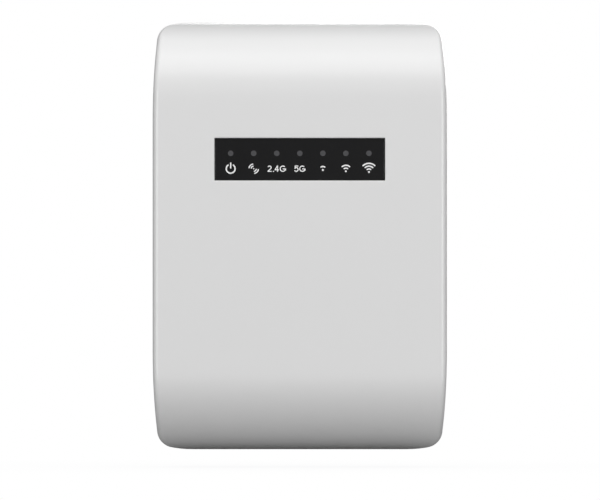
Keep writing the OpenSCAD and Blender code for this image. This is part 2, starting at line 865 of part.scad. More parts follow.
tail_r = 1;
pin_root = 3;
module plug_pins() {
    core_r = 1.45;
    collar_r = 2.8;
    color(steel) for (s = [-1, 1]) translate([s * pin_pitch / 2, 0, 0]) rotate([-90, 0, 0])
        rotate_extrude() polygon([
            [0, power_front_y - 1], [tail_r, power_front_y - 1], [tail_r, -pin_root - 5],
            [pin_r, -pin_root - 5], [pin_r, -pin_root - 1], [collar_r, -pin_root - 1],
            [collar_r, -pin_root], [core_r, -pin_root], [core_r, sleeve_len], [pin_r, sleeve_len],
            [pin_r, pin_len - 0.9], [pin_r - 0.25, pin_len - 0.35],
            [pin_r - 0.8, pin_len], [0, pin_len]
        ]);
}

module pin_sleeves() {
    color(black) for (s = [-1, 1]) translate([s * pin_pitch / 2, -pin_root, 0])
        rotate([-90, 0, 0]) difference() {
            cylinder(h = pin_root + sleeve_len, r = sleeve_r);
            translate([0, 0, -1]) cylinder(h = pin_root + sleeve_len + 2, r = 1.45);
        }
}

module cross_recess(r, depth) {
    for (a = [0, 90]) rotate(a) translate([0, 0, -depth / 2])
        cube([2 * r, r * 0.45, depth], center = true);
}

module case_screws() {
    color(steel) for (p = pillars) translate([p[0], head_y, p[1]]) rotate([-90, 0, 0])
        difference() {
            union() {
                cylinder(h = 1.6, r = 2 * screw_r);
                translate([0, 0, screw_tip_y - head_y]) cylinder(h = head_y - screw_tip_y,
                    r = screw_r);
            }
            translate([0, 0, 1.7]) cross_recess(1.4, 1.2);
        }
}

module board_screws() {
    color(steel) for (p = stands) translate([p[0], power_front_y, p[1]]) rotate([90, 0, 0])
        difference() {
            union() {
                cylinder(h = 1.1, r = 1.8);
                translate([0, 0, -board_t - stand_h]) cylinder(h = board_t + stand_h,
                    r = board_screw_r);
            }
            translate([0, 0, 1.2]) cross_recess(1, 0.8);
        }
}

front_cover();
rear_cover();
indicator_panel();
panel_marks();
light_guide();
light_shield();
indicator_lamps();
main_board();
main_chip();
memory_chip();
radio_chips();
shield_frames();
shield_lids();
heat_pad();
heat_sink();
antenna_left();
antenna_right();
antenna_lead_left();
antenna_lead_right();
antenna_sockets();
jack_housing();
jack_shell();
jack_contacts();
network_transformer();
pair_button();
pair_plunger();
pair_switch();
power_button();
power_switch();
mode_slider();
mode_switch();
reset_plunger();
reset_switch();
power_board();
transformer_core();
transformer_coil();
bulk_capacitors();
output_capacitor();
line_choke();
line_fuse();
rectifier();
control_chip();
coupler_chip();
noise_capacitor();
board_link();
insulation_sheet();
plug_pins();
pin_sleeves();
case_screws();
board_screws();
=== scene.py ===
import bpy
import bmesh
import json
import math
import numpy as np
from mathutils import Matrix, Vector


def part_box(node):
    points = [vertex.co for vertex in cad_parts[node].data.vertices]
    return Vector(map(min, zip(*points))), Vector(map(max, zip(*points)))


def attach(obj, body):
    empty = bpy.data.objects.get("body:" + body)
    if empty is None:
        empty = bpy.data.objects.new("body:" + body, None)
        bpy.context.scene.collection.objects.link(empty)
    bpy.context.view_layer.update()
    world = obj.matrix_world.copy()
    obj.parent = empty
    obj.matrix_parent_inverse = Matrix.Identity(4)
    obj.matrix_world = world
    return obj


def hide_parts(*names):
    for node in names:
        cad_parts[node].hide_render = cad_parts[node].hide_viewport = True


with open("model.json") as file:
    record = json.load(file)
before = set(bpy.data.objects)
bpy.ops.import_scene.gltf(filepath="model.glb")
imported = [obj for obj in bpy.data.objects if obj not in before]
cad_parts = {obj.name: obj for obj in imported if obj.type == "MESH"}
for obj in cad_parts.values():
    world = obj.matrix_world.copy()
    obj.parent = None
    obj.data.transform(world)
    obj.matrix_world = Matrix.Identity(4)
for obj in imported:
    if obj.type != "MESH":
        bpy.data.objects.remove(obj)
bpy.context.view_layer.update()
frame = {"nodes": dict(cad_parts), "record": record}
mm = 0.001

frontLow, frontHigh = (np.array(c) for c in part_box("front_cover"))
panelLow, panelHigh = (np.array(c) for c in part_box("indicator_panel"))
bodyMiddle = (frontLow + frontHigh) / 2
halfWidth = frontHigh[0]
halfHeight = (frontHigh[2] - frontLow[2]) / 2
middleZ = bodyMiddle[2]
frontY = frontLow[1]
splitY = frontHigh[1]
backY = splitY + (splitY - frontY)   # both covers are as deep as each other


def newPiece(name, verts, faces):
    mesh = bpy.data.meshes.new(name)
    mesh.from_pydata([tuple(v) for v in verts], [], [tuple(f) for f in faces])
    mesh.validate()
    piece = bpy.data.objects.new(name, mesh)
    bpy.context.scene.collection.objects.link(piece)
    return piece


def tidyMesh(piece, sharpAngle=32, weld=1e-6):
    bm = bmesh.new()
    bm.from_mesh(piece.data)
    bmesh.ops.remove_doubles(bm, verts=bm.verts, dist=weld)
    bmesh.ops.recalc_face_normals(bm, faces=bm.faces)
    bm.to_mesh(piece.data)
    bm.free()
    for polygon in piece.data.polygons:
        polygon.use_smooth = True
    piece.data.set_sharp_from_angle(angle=math.radians(sharpAngle))
    return piece


def applyModifiers(piece):
    graph = bpy.context.evaluated_depsgraph_get()
    mesh = bpy.data.meshes.new_from_object(piece.evaluated_get(graph))
    piece.modifiers.clear()
    old = piece.data
    piece.data = mesh
    bpy.data.meshes.remove(old)


def cutWith(piece, cutters, operation="DIFFERENCE"):
    for cutter in cutters:
        change = piece.modifiers.new("change", "BOOLEAN")
        change.operation = operation
        change.solver = "EXACT"
        change.object = cutter
    applyModifiers(piece)
    for cutter in cutters:
        bpy.data.objects.remove(cutter)


def joined(name, pieces):
    merged = bmesh.new()
    for piece in pieces:
        merged.from_mesh(piece.data)
        bpy.data.objects.remove(piece)
    mesh = bpy.data.meshes.new(name)
    merged.to_mesh(mesh)
    merged.free()
    whole = bpy.data.objects.new(name, mesh)
    bpy.context.scene.collection.objects.link(whole)
    return whole


def ringLoft(name, rings, capped=True, hold=0.0):
    # Rings are lists of as many points each, joined one to the next.
    # hold adds a ring just inside each end, which keeps the end's shading flat.
    count = len(rings[0])
    if hold:
        def heldRing(ring):
            middle = Vector(np.mean(np.array(ring), axis=0))
            return [tuple(Vector(p) + (middle - Vector(p)).normalized() * hold) for p in ring]
        rings = [heldRing(rings[0])] + list(rings) + [heldRing(rings[-1])]
    verts = [p for ring in rings for p in ring]
    faces = []
    for i in range(len(rings) - 1):
        for k in range(count):
            n = (k + 1) % count
            a, b = i * count, (i + 1) * count
            faces.append((a + k, a + n, b + n, b + k))
    if capped:
        faces.append(tuple(range(count))[::-1])
        start = (len(rings) - 1) * count
        faces.append(tuple(range(start, start + count)))
    return newPiece(name, verts, faces)


def roundOutline(width, height, radius, steps=10):
    # A rectangle with round corners, as 2-D points in order.
    radius = min(radius, width / 2, height / 2)
    points = []
    for cx, cy, start in ((1, 1, 0), (-1, 1, 90), (-1, -1, 180), (1, -1, 270)):
        for k in range(steps + 1):
            a = math.radians(start + 90 * k / steps)
            points.append((cx * (width / 2 - radius) + radius * math.cos(a),
                           cy * (height / 2 - radius) + radius * math.sin(a)))
    return points


def placed(points, plane, offset, centre):
    # Puts 2-D points at a depth along X or Y, round a centre given in the other two axes.
    if plane == "x":
        return [(offset, centre[0] + u, centre[1] + v) for u, v in points]
    return [(centre[0] + u, offset, centre[1] + v) for u, v in points]


def softBlock(name, plane, centre, size, depths, radius, edge, steps=6, corner=8):
    # A block whose outline has round corners and whose end at depths[1] has a round edge.
    start, end = depths
    way = 1 if end > start else -1
    rings = [placed(roundOutline(size[0], size[1], radius, corner), plane, start, centre)]
    for k in range(steps + 1):
        a = math.radians(90 * k / steps)
        inset = edge * (1 - math.cos(a))
        outline = roundOutline(size[0] - 2 * inset, size[1] - 2 * inset,
                               max(radius - inset, edge * 0.1), corner)
        rings.append(placed(outline, plane, end - way * edge * (1 - math.sin(a)), centre))
    return tidyMesh(ringLoft(name, rings, hold=min(0.2 * mm, size[1] / 5)), 30)


def rod(name, plane, centre, radius, depths, sides=48):
    return softBlock(name, plane, centre, (2 * radius, 2 * radius), depths, radius,
                     1e-5, steps=1, corner=sides // 4)


def lathe(name, profile, axisPoint, sides=72, capped=True):
    # A profile of (radius, y) pairs turned round a line along Y.
    rings = []
    for radius, y in profile:
        rings.append([(axisPoint[0] + radius * math.cos(2 * math.pi * k / sides), y,
                       axisPoint[1] + radius * math.sin(2 * math.pi * k / sides))
                      for k in range(sides)])
    return ringLoft(name, rings, capped)


def nodeGroup(name, inputs, outputs):
    group = bpy.data.node_groups.new(name, "ShaderNodeTree")
    for label, kind, value in inputs:
        socket = group.interface.new_socket(label, in_out="INPUT", socket_type=kind)
        socket.default_value = value
    for label, kind in outputs:
        group.interface.new_socket(label, in_out="OUTPUT", socket_type=kind)
    start = group.nodes.new("NodeGroupInput")
    end = group.nodes.new("NodeGroupOutput")
    return group, start, end


def mathNode(tree, operation, a, b=None, clamp=False):
    node = tree.nodes.new("ShaderNodeMath")
    node.operation = operation
    node.use_clamp = clamp
    for socket, value in zip(node.inputs, (a, b)):
        if isinstance(value, (int, float)):
            socket.default_value = value
        elif value is not None:
            tree.links.new(value, socket)
    return node.outputs[0]


def noiseNode(tree, place, scale, detail=3, roughness=0.55):
    node = tree.nodes.new("ShaderNodeTexNoise")
    node.inputs["Detail"].default_value = detail
    node.inputs["Roughness"].default_value = roughness
    if isinstance(scale, (int, float)):
        node.inputs["Scale"].default_value = scale
    else:
        tree.links.new(scale, node.inputs["Scale"])
    tree.links.new(place, node.inputs["Vector"])
    return node.outputs[0]


def scaledColor(tree, color, factor):
    node = tree.nodes.new("ShaderNodeVectorMath")
    node.operation = "SCALE"
    tree.links.new(color, node.inputs[0])
    tree.links.new(factor, node.inputs["Scale"])
    return node.outputs[0]


def mixedColor(tree, factor, a, b):
    node = tree.nodes.new("ShaderNodeMix")
    node.data_type = "RGBA"
    for socket, value in ((node.inputs[0], factor), (node.inputs[6], a), (node.inputs[7], b)):
        if isinstance(value, (int, float)):
            socket.default_value = value
        elif isinstance(value, tuple):
            socket.default_value = value
        else:
            tree.links.new(value, socket)
    return node.outputs[2]


def makeMouldedGroup():
    # Moulded plastic: slow mottling, uneven gloss and the fine spark-eroded skin of a mould.
    group, start, end = nodeGroup("mouldedSkin", [
        ("Color", "NodeSocketColor", (0.8, 0.8, 0.8, 1)),
        ("Mottle", "NodeSocketFloat", 0.02),
        ("Gloss", "NodeSocketFloat", 0.35),
        ("Gloss Spread", "NodeSocketFloat", 0.05),
        ("Grain Scale", "NodeSocketFloat", 2600.0),
        ("Grain Depth", "NodeSocketFloat", 0.05),
    ], [("Color", "NodeSocketColor"), ("Roughness", "NodeSocketFloat"),
        ("Normal", "NodeSocketVector")])
    place = group.nodes.new("ShaderNodeTexCoord").outputs["Object"]
    slow = noiseNode(group, place, 38, 2)
    cloud = mathNode(group, "MULTIPLY", mathNode(group, "SUBTRACT", slow, 0.5),
                     start.outputs["Mottle"])
    factor = mathNode(group, "ADD", mathNode(group, "MULTIPLY", cloud, 2), 1.0)
    group.links.new(scaledColor(group, start.outputs["Color"], factor), end.inputs["Color"])
    wear = mathNode(group, "SUBTRACT", noiseNode(group, place, 140, 4, 0.65), 0.5)
    spread = mathNode(group, "MULTIPLY", wear, start.outputs["Gloss Spread"])
    group.links.new(mathNode(group, "ADD", mathNode(group, "MULTIPLY", spread, 2),
                             start.outputs["Gloss"], clamp=True), end.inputs["Roughness"])
    grain = noiseNode(group, place, start.outputs["Grain Scale"], 2, 0.5)
    bump = group.nodes.new("ShaderNodeBump")
    bump.inputs["Distance"].default_value = 0.00012
    group.links.new(start.outputs["Grain Depth"], bump.inputs["Strength"])
    group.links.new(grain, bump.inputs["Height"])
    group.links.new(bump.outputs[0], end.inputs["Normal"])
    return group


def makeDustGroup():
    # A thin film of dust where the surface looks up, broken by noise.
    group, start, end = nodeGroup("dustFilm", [
        ("Color", "NodeSocketColor", (0.8, 0.8, 0.8, 1)),
        ("Dust", "NodeSocketColor", (0.55, 0.53, 0.5, 1)),
        ("Amount", "NodeSocketFloat", 0.05),
    ], [("Color", "NodeSocketColor"), ("Mask", "NodeSocketFloat")])
    split = group.nodes.new("ShaderNodeSeparateXYZ")
    group.links.new(group.nodes.new("ShaderNodeNewGeometry").outputs["Normal"], split.inputs[0])
    up = mathNode(group, "MULTIPLY", split.outputs["Z"], 1.0, clamp=True)
    place = group.nodes.new("ShaderNodeTexCoord").outputs["Object"]
    specks = noiseNode(group, place, 420, 6, 0.7)
    mask = mathNode(group, "MULTIPLY", mathNode(group, "MULTIPLY", up, specks),
                    start.outputs["Amount"], clamp=True)
    group.links.new(mixedColor(group, mask, start.outputs["Color"], start.outputs["Dust"]),
                    end.inputs["Color"])
    group.links.new(mask, end.inputs["Mask"])
    return group


def makeDrawnMetalGroup():
    # Drawn or plated metal: fine lines along one axis and faint tarnish.
    group, start, end = nodeGroup("drawnMetal", [
        ("Color", "NodeSocketColor", (0.7, 0.7, 0.7, 1)),
        ("Stretch", "NodeSocketVector", (1.0, 1.0, 1.0)),
        ("Gloss", "NodeSocketFloat", 0.25),
        ("Tarnish", "NodeSocketFloat", 0.1),
        ("Line Depth", "NodeSocketFloat", 0.08),
    ], [("Color", "NodeSocketColor"), ("Roughness", "NodeSocketFloat"),
        ("Normal", "NodeSocketVector")])
    place = group.nodes.new("ShaderNodeTexCoord").outputs["Object"]
    stretched = group.nodes.new("ShaderNodeVectorMath")
    stretched.operation = "MULTIPLY"
    group.links.new(place, stretched.inputs[0])
    group.links.new(start.outputs["Stretch"], stretched.inputs[1])
    lines = noiseNode(group, stretched.outputs[0], 2400, 3, 0.6)
    cloud = noiseNode(group, place, 210, 3)
    dull = mathNode(group, "MULTIPLY", cloud, start.outputs["Tarnish"])
    factor = mathNode(group, "SUBTRACT", 1.0, dull)
    group.links.new(scaledColor(group, start.outputs["Color"], factor), end.inputs["Color"])
    group.links.new(mathNode(group, "ADD", mathNode(group, "ADD", start.outputs["Gloss"], dull),
                             mathNode(group, "MULTIPLY", lines, 0.08), clamp=True),
                    end.inputs["Roughness"])
    bump = group.nodes.new("ShaderNodeBump")
    bump.inputs["Distance"].default_value = 0.00005
    group.links.new(start.outputs["Line Depth"], bump.inputs["Strength"])
    group.links.new(lines, bump.inputs["Height"])
    group.links.new(bump.outputs[0], end.inputs["Normal"])
    return group


mouldedSkin = makeMouldedGroup()
dustFilm = makeDustGroup()
drawnMetal = makeDrawnMetalGroup()


def newMaterial(name):
    material = bpy.data.materials.new(name)
    material.use_nodes = True
    tree = material.node_tree
    return material, tree, tree.nodes["Principled BSDF"]


def placeGroup(tree, group, **values):
    node = tree.nodes.new("ShaderNodeGroup")
    node.node_tree = group
    for label, value in values.items():
        node.inputs[label.replace("_", " ")].default_value = value
    return node


def plastic(name, color, gloss=0.4, mottle=0.02, spread=0.05, grain=2600.0, depth=0.05,
            dust=0.0, coat=0.0, specular=0.5):
    material, tree, shader = newMaterial(name)
    skin = placeGroup(tree, mouldedSkin, Color=(*color, 1), Mottle=mottle, Gloss=gloss,
                      Gloss_Spread=spread, Grain_Scale=grain, Grain_Depth=depth)
    film = placeGroup(tree, dustFilm, Amount=dust)
    tree.links.new(skin.outputs["Color"], film.inputs["Color"])
    tree.links.new(film.outputs["Color"], shader.inputs["Base Color"])
    tree.links.new(skin.outputs["Roughness"], shader.inputs["Roughness"])
    tree.links.new(skin.outputs["Normal"], shader.inputs["Normal"])
    shader.inputs["Coat Weight"].default_value = coat
    shader.inputs["Coat Roughness"].default_value = 0.08
    shader.inputs["Specular IOR Level"].default_value = specular
    return material


def metal(name, color, gloss=0.25, tarnish=0.1, lines=0.08, stretch=(1, 1, 1)):
    material, tree, shader = newMaterial(name)
    skin = placeGroup(tree, drawnMetal, Color=(*color, 1), Gloss=gloss, Tarnish=tarnish,
                      Line_Depth=lines, Stretch=stretch)
    tree.links.new(skin.outputs["Color"], shader.inputs["Base Color"])
    tree.links.new(skin.outputs["Roughness"], shader.inputs["Roughness"])
    tree.links.new(skin.outputs["Normal"], shader.inputs["Normal"])
    shader.inputs["Metallic"].default_value = 1.0
    return material


def clearPlastic(name, color, gloss=0.25):
    material = plastic(name, color, gloss=gloss, mottle=0.05, depth=0.03)
    shader = material.node_tree.nodes["Principled BSDF"]
    shader.inputs["Transmission Weight"].default_value = 0.15
    shader.inputs["IOR"].default_value = 1.49
    return material


coverWhite = plastic("coverWhite", (0.80, 0.80, 0.80), gloss=0.3, mottle=0.006, spread=0.03,
                     grain=3200.0, depth=0.035, dust=0.02)
finishes = {
    "panel": plastic("panelBlack", (0.0118, 0.0118, 0.0123), gloss=0.14, mottle=0.1, spread=0.03,
                     grain=900.0, depth=0.008),
    "marks": plastic("markWhite", (0.93, 0.93, 0.93), gloss=0.5, mottle=0.02, grain=9000.0),
    "guide": clearPlastic("guideSmoke", (0.085, 0.085, 0.09)),
    "shield": plastic("shieldBlack", (0.022, 0.022, 0.024), gloss=0.6, depth=0.12),
    "lamp": plastic("lampResin", (0.85, 0.78, 0.45), gloss=0.3),
    "board": plastic("boardGreen", (0.012, 0.1, 0.035), gloss=0.3, mottle=0.12, grain=1300.0,
                     depth=0.1, dust=0.15),
    "power_board": plastic("boardTan", (0.42, 0.29, 0.12), gloss=0.55, mottle=0.15,
                           grain=1100.0, depth=0.16, dust=0.2),
    "chip": plastic("chipBlack", (0.022, 0.022, 0.024), gloss=0.55, grain=5200.0, depth=0.1),
    "coupler": plastic("couplerWhite", (0.72, 0.71, 0.67), gloss=0.5),
    "can": metal("canTin", (0.72, 0.72, 0.71), gloss=0.3, stretch=(0.05, 1, 1)),
    "pad": plastic("padGrey", (0.33, 0.4, 0.48), gloss=0.8, grain=1500.0, depth=0.2),
    "sink": metal("sinkMetal", (0.75, 0.76, 0.77), gloss=0.38, stretch=(1, 1, 0.04)),
    "antenna": plastic("antennaGreen", (0.03, 0.17, 0.075), gloss=0.35, mottle=0.1),
    "lead": plastic("leadBlack", (0.02, 0.02, 0.021), gloss=0.5, grain=3600.0),
    "gilt": metal("giltContact", (0.83, 0.62, 0.24), gloss=0.22, tarnish=0.12),
    "jack": plastic("jackBlack", (0.02, 0.02, 0.021), gloss=0.42, grain=2600.0, depth=0.07),
    "jack_shell": metal("jackTin", (0.7, 0.7, 0.69), gloss=0.26, stretch=(1, 1, 0.05)),
    "plunger": plastic("plungerRed", (0.55, 0.06, 0.035), gloss=0.4),
    "switch_body": plastic("switchBlack", (0.022, 0.022, 0.024), gloss=0.48),
    "slider_body": metal("sliderTin", (0.66, 0.66, 0.65), gloss=0.32),
    "core": plastic("coreFerrite", (0.035, 0.035, 0.037), gloss=0.62, mottle=0.2, depth=0.2),
    "coil": plastic("coilTape", (0.72, 0.5, 0.05), gloss=0.3, mottle=0.1, grain=700.0),
    "capacitor": plastic("capacitorBlue", (0.02, 0.03, 0.09), gloss=0.3, mottle=0.1),
    "choke": plastic("chokeGreen", (0.03, 0.16, 0.08), gloss=0.35, mottle=0.2, depth=0.2),
    "fuse": plastic("fuseWhite", (0.68, 0.65, 0.56), gloss=0.4),
    "noise_capacitor": plastic("discBlue", (0.03, 0.12, 0.45), gloss=0.3, mottle=0.1),
    "link": plastic("linkBlack", (0.03, 0.03, 0.032), gloss=0.5),
    "sheet": plastic("sheetAmber", (0.75, 0.68, 0.4), gloss=0.35, grain=800.0),
    "screw": metal("screwZinc", (0.62, 0.62, 0.61), gloss=0.3, tarnish=0.18),
}
capWhite = plastic("capWhite", (0.76, 0.76, 0.76), gloss=0.36, mottle=0.01, grain=3600.0,
                   depth=0.04, dust=0.01)
sliderGrey = plastic("sliderGrey", (0.05, 0.05, 0.053), gloss=0.5, grain=3000.0, depth=0.12)
pinNickel = metal("pinNickel", (0.8, 0.78, 0.74), gloss=0.14, tarnish=0.07, lines=0.05,
                  stretch=(1, 0.04, 1))
sleeveBlack = plastic("sleeveBlack", (0.025, 0.025, 0.027), gloss=0.42, grain=3400.0,
                      depth=0.1, dust=0.08)
printGrey = plastic("printGrey", (0.3, 0.3, 0.31), gloss=0.55, mottle=0.04, grain=9000.0)


def paint(piece, material):
    piece.data.materials.clear()
    piece.data.materials.append(material)


for entry in frame["record"]["subparts"]:
    slotName = entry["material_slot"]
    if slotName in finishes:
        for holder in frame["nodes"][entry["node"]].material_slots:
            holder.material = finishes[slotName]
print("materials made:", len(bpy.data.materials))


cover = {
    "wall": 2.0 * mm,
    "sideCurve": 170 * mm,       # slow curve at each end of the sides
    "sideAngle": math.radians(6.1),
    "corner": 4 * mm,
    "cornerEnd": math.radians(79),
    "endCurve": 26 * mm,         # slow curve at each end of the top and the foot
    "hair": 0.04 * mm,           # the covers stay this far inside the frame's sides
    "seam": 0.28 * mm,           # round edge where the covers meet
    "windowEdge": 0.22 * mm,     # round edge of the window
}
frontForm = {"faceY": frontY, "way": 1, "bend": splitY - frontY, "edge": 1.25 * mm,
             "steadyX": 20.2 * mm, "steadyZ": 24 * mm}
rearForm = {"faceY": backY, "way": -1, "bend": 3.4 * mm, "edge": 3.2 * mm,
            "steadyX": 11 * mm, "steadyZ": 20 * mm}
coverDepth = splitY - frontY


def outlineCentres(inset):
    w = halfWidth - cover["hair"]
    h = halfHeight
    ra, rb, rc = cover["sideCurve"], cover["corner"], cover["endCurve"]
    a1, a2 = cover["sideAngle"], cover["cornerEnd"]
    drop = ra * math.sin(a1) + rb * (math.sin(a2) - math.sin(a1)) + rc * (1 - math.sin(a2))
    ca = np.array([w - ra, h - drop])
    cb = ca + (ra - rb) * np.array([math.cos(a1), math.sin(a1)])
    cc = cb + (rb - rc) * np.array([math.cos(a2), math.sin(a2)])
    return w - inset, h - inset, ca, cb, cc, ra - inset, rb - inset, rc - inset


def outlineCurve(inset, fromTop):
    # A quarter of the outline as close points, with the length walked to each of them.
    # It runs to the middle of the tight corner, from the middle of the top or of the side.
    w, h, ca, cb, cc, ra, rb, rc = outlineCentres(inset)
    a1, a2 = cover["sideAngle"], cover["cornerEnd"]
    middle = (a1 + a2) / 2

    def arc(centre, radius, start, end, count):
        return [(centre[0] + radius * math.cos(a), centre[1] + radius * math.sin(a))
                for a in (start + (end - start) * k / count for k in range(count + 1))]

    if fromTop:
        points = [(0, h)] + arc(cc, rc, math.pi / 2, a2, 200) + arc(cb, rb, a2, middle, 200)
    else:
        points = [(w, 0)] + arc(ca, ra, 0, a1, 200) + arc(cb, rb, a1, middle, 200)
    points = np.array(points)
    walked = np.concatenate([[0], np.cumsum(np.hypot(*np.diff(points, axis=0).T))])
    return points, walked


def alongCurve(curve, value, steady, full):
    # The point a given way along: true length up to steady, then spread over the rest.
    points, walked = curve
    if value > steady:
        value = steady + (value - steady) * (walked[-1] - steady) / (full - steady)
    return (np.interp(value, walked, points[:, 0]), np.interp(value, walked, points[:, 1]))


def outlineDistance(x, z, inset):
    w, h, ca, cb, cc, ra, rb, rc = outlineCentres(inset)
    a1, a2 = cover["sideAngle"], cover["cornerEnd"]
    ax, az = np.abs(x), np.abs(z)

    def toArc(centre, radius):
        dx, dz = ax - centre[0], az - centre[1]
        length = np.hypot(dx, dz) + 1e-12
        return length - radius, dz / length

    arcA, normalA = toArc(ca, ra)
    arcB, normalB = toArc(cb, rb)
    arcC, normalC = toArc(cc, rc)
    side = np.where(az > ca[1], arcA, ax - w)
    sideNormal = np.where(az > ca[1], normalA, 0.0)
    top = np.where(ax > cc[0], arcC, az - h)
    topNormal = np.where(ax > cc[0], normalC, 1.0)
    bySide = math.cos(a1) * (az - cb[1]) - math.sin(a1) * (ax - cb[0]) < 0
    byTop = math.cos(a2) * (az - cb[1]) - math.sin(a2) * (ax - cb[0]) > 0
    useSide = bySide & (~byTop | (side > top))
    useTop = byTop & ~useSide
    distance = np.where(useSide, side, np.where(useTop, top, arcB))
    normal = np.where(useSide, sideNormal, np.where(useTop, topNormal, normalB))
    return distance, normal * np.sign(z)


def profileDistance(t, z, bend, inset):
    az = np.abs(z)
    radius = bend - inset
    centreT, centreZ = bend, halfHeight - bend
    dt, dz = t - centreT, az - centreZ
    length = np.hypot(dt, dz) + 1e-12
    inBend = (t < centreT) & (az > centreZ)
    onTop = (t >= centreT) & (az > centreZ)
    distance = np.where(inBend, length - radius, np.where(onTop, dz - radius, inset - t))
    nz = np.where(inBend, dz / length, np.where(onTop, 1.0, 0.0))
    return distance, nz * np.sign(z)


def formDistance(points, form, inset):
    # Distance to the cover's skin, with the edge between side and face rounded.
    x, z = points[:, 0], points[:, 2] - middleZ
    t = form["way"] * (points[:, 1] - form["faceY"])
    edge = max(form["edge"] - inset * 0.5, 0.3 * mm)
    a, na = outlineDistance(x, z, inset)
    b, nb = profileDistance(t, z, form["bend"], inset)
    c = np.clip(na * nb, -0.9999, 0.9999)
    a, b = a + edge, b + edge
    corner = np.sqrt(np.maximum(a * a + b * b - 2 * a * b * c, 0) / (1 - c * c))
    reach = np.where(b - a * c <= 0, a, np.where(a - b * c <= 0, b, corner))
    return reach - edge


def slope(points, form, inset, step=1e-6):
    g = np.zeros_like(points)
    for k in range(3):
        shift = np.zeros(3)
        shift[k] = step
        g[:, k] = (formDistance(points + shift, form, inset)
                   - formDistance(points - shift, form, inset)) / (2 * step)
    return g / (np.linalg.norm(g, axis=1, keepdims=True) + 1e-9)


def evenSteps(start, end, count):
    return [start + (end - start) * k / count for k in range(count + 1)]


def coverGrid(form, inset, window=None, shut=None):
    # A sheet of points over the face and its bends, and strips from its rim to the seam.
    bend, edge = form["bend"], form["edge"]
    w, h = halfWidth - cover["hair"] - inset, halfHeight - inset
    steadyX, steadyZ = form["steadyX"], form["steadyZ"]
    flatHigh = halfHeight - bend
    bendSteps = 34 if bend > 8 * mm else 12
    zLines = {flatHigh + (h - flatHigh) * math.sin(math.radians(90 * k / bendSteps))
              for k in range(bendSteps + 1)}
    spans = [-flatHigh, flatHigh]
    columns = set(evenSteps(-steadyX, steadyX, 16))
    if window:
        chamfer = [cover["windowEdge"] * c for c in (0, 0.12, 0.35, 0.65, 1, 2.2)]
        low, high = window["low"][1] - middleZ, window["high"][1] - middleZ
        for c in chamfer:
            zLines.update((low - c, high + c))
        spans = [-flatHigh, low - chamfer[-1], low, high, high + chamfer[-1], flatHigh]
        half = window["high"][0]
        columns = {x for x in columns if abs(abs(x) - half) > 0.7 * mm}
        for c in chamfer:
            columns.update((half + c, -half - c))
    for lowZ, highZ in zip(spans[:-1], spans[1:]):
        if highZ - lowZ < 0.6 * mm:
            continue
        zLines.update(evenSteps(lowZ, highZ, max(2, int((highZ - lowZ) / (2.4 * mm)))))
    zLines |= {-z for z in zLines if z > flatHigh}
    rows = sorted({round(z, 9) for z in zLines})
    steps = [1.9, 1.5, 1.2, 1.0, 0.86, 0.72, 0.58, 0.44, 0.3, 0.16, 0.06, 0]
    last = w - steps[0] * edge
    outer = [steadyX + (last - steadyX) * s for s in (0.12, 0.26, 0.42, 0.58, 0.74, 0.88)]
    outer += [w - s * edge for s in steps]
    steady = sorted({round(x, 9) for x in columns})
    columns = [-x for x in reversed(outer)] + steady + outer

    topCurve, sideCurve = outlineCurve(inset, True), outlineCurve(inset, False)
    corner = topCurve[0][-1]

    def ease(value, start, end):
        s = min(max((value - start) / (end - start), 0), 1)
        return s * s * (3 - 2 * s) if s < 1 else 1.0

    def inOutline(x, z):
        signX, signZ = math.copysign(1, x), math.copysign(1, z)
        x, z = abs(x), abs(z)
        top = alongCurve(topCurve, x, steadyX, w)
        side = alongCurve(sideCurve, z, steadyZ, h)
        q, g = ease(x, steadyX, w), ease(z, steadyZ, h)
        newX = x + q * (side[0] - w) + g * (top[0] - x) - q * g * (corner[0] - w)
        newZ = z + g * (top[1] - h) + q * (side[1] - z) - q * g * (corner[1] - h)
        return signX * newX, signZ * newZ

    def depthAt(z):
        rise = max(abs(z) - flatHigh, 0)
        radius = bend - inset
        return bend - math.sqrt(max(radius ** 2 - rise ** 2, 0))

    verts, faces = [], []
    for z in rows:
        for x in columns:
            px, pz = inOutline(x, z)
            verts.append((px, depthAt(pz), pz))
    width = len(columns)
    for i in range(len(rows) - 1):
        for j in range(width - 1):
            middleX, middleRow = (columns[j] + columns[j + 1]) / 2, (rows[i] + rows[i + 1]) / 2
            if (window and abs(middleX) < window["high"][0]
                    and window["low"][1] < middleRow + middleZ < window["high"][1]):
                continue
            a = i * width + j
            faces.append((a, a + width, a + width + 1, a + 1))

    rim = list(range(width))
    rim += [i * width + width - 1 for i in range(1, len(rows))]
    rim += [(len(rows) - 1) * width + j for j in range(width - 2, -1, -1)]
    rim += [i * width for i in range(len(rows) - 2, 0, -1)]
    spread = [0, 0.012, 0.03, 0.06, 0.1, 0.16, 0.25, 0.38, 0.54, 0.7, 0.84, 0.93, 0.965,
              0.98, 0.988, 0.994, 1]
    if shut is None:
        shut = [coverDepth - verts[k][1] < 0.02 * mm for k in rim]
    strips = []
    for k, closed in zip(rim, shut):
        x, t, z = verts[k]
        if closed:
            verts[k] = (x, coverDepth, z)
            strips.append([k] * len(spread))
            continue
        strip = [k]
        for s in spread[1:]:
            strip.append(len(verts))
            verts.append((x, t + (coverDepth - t) * s, z))
        strips.append(strip)
    for one, two in zip(strips, strips[1:] + strips[:1]):
        for k in range(len(spread) - 1):
            quad = []
            for index in (one[k], two[k], two[k + 1], one[k + 1]):
                if index not in quad:
                    quad.append(index)
            if len(quad) > 2:
                faces.append(tuple(quad))
    points = np.array([(x, form["faceY"] + form["way"] * t, z + middleZ) for x, t, z in verts])
    return points, faces, shut


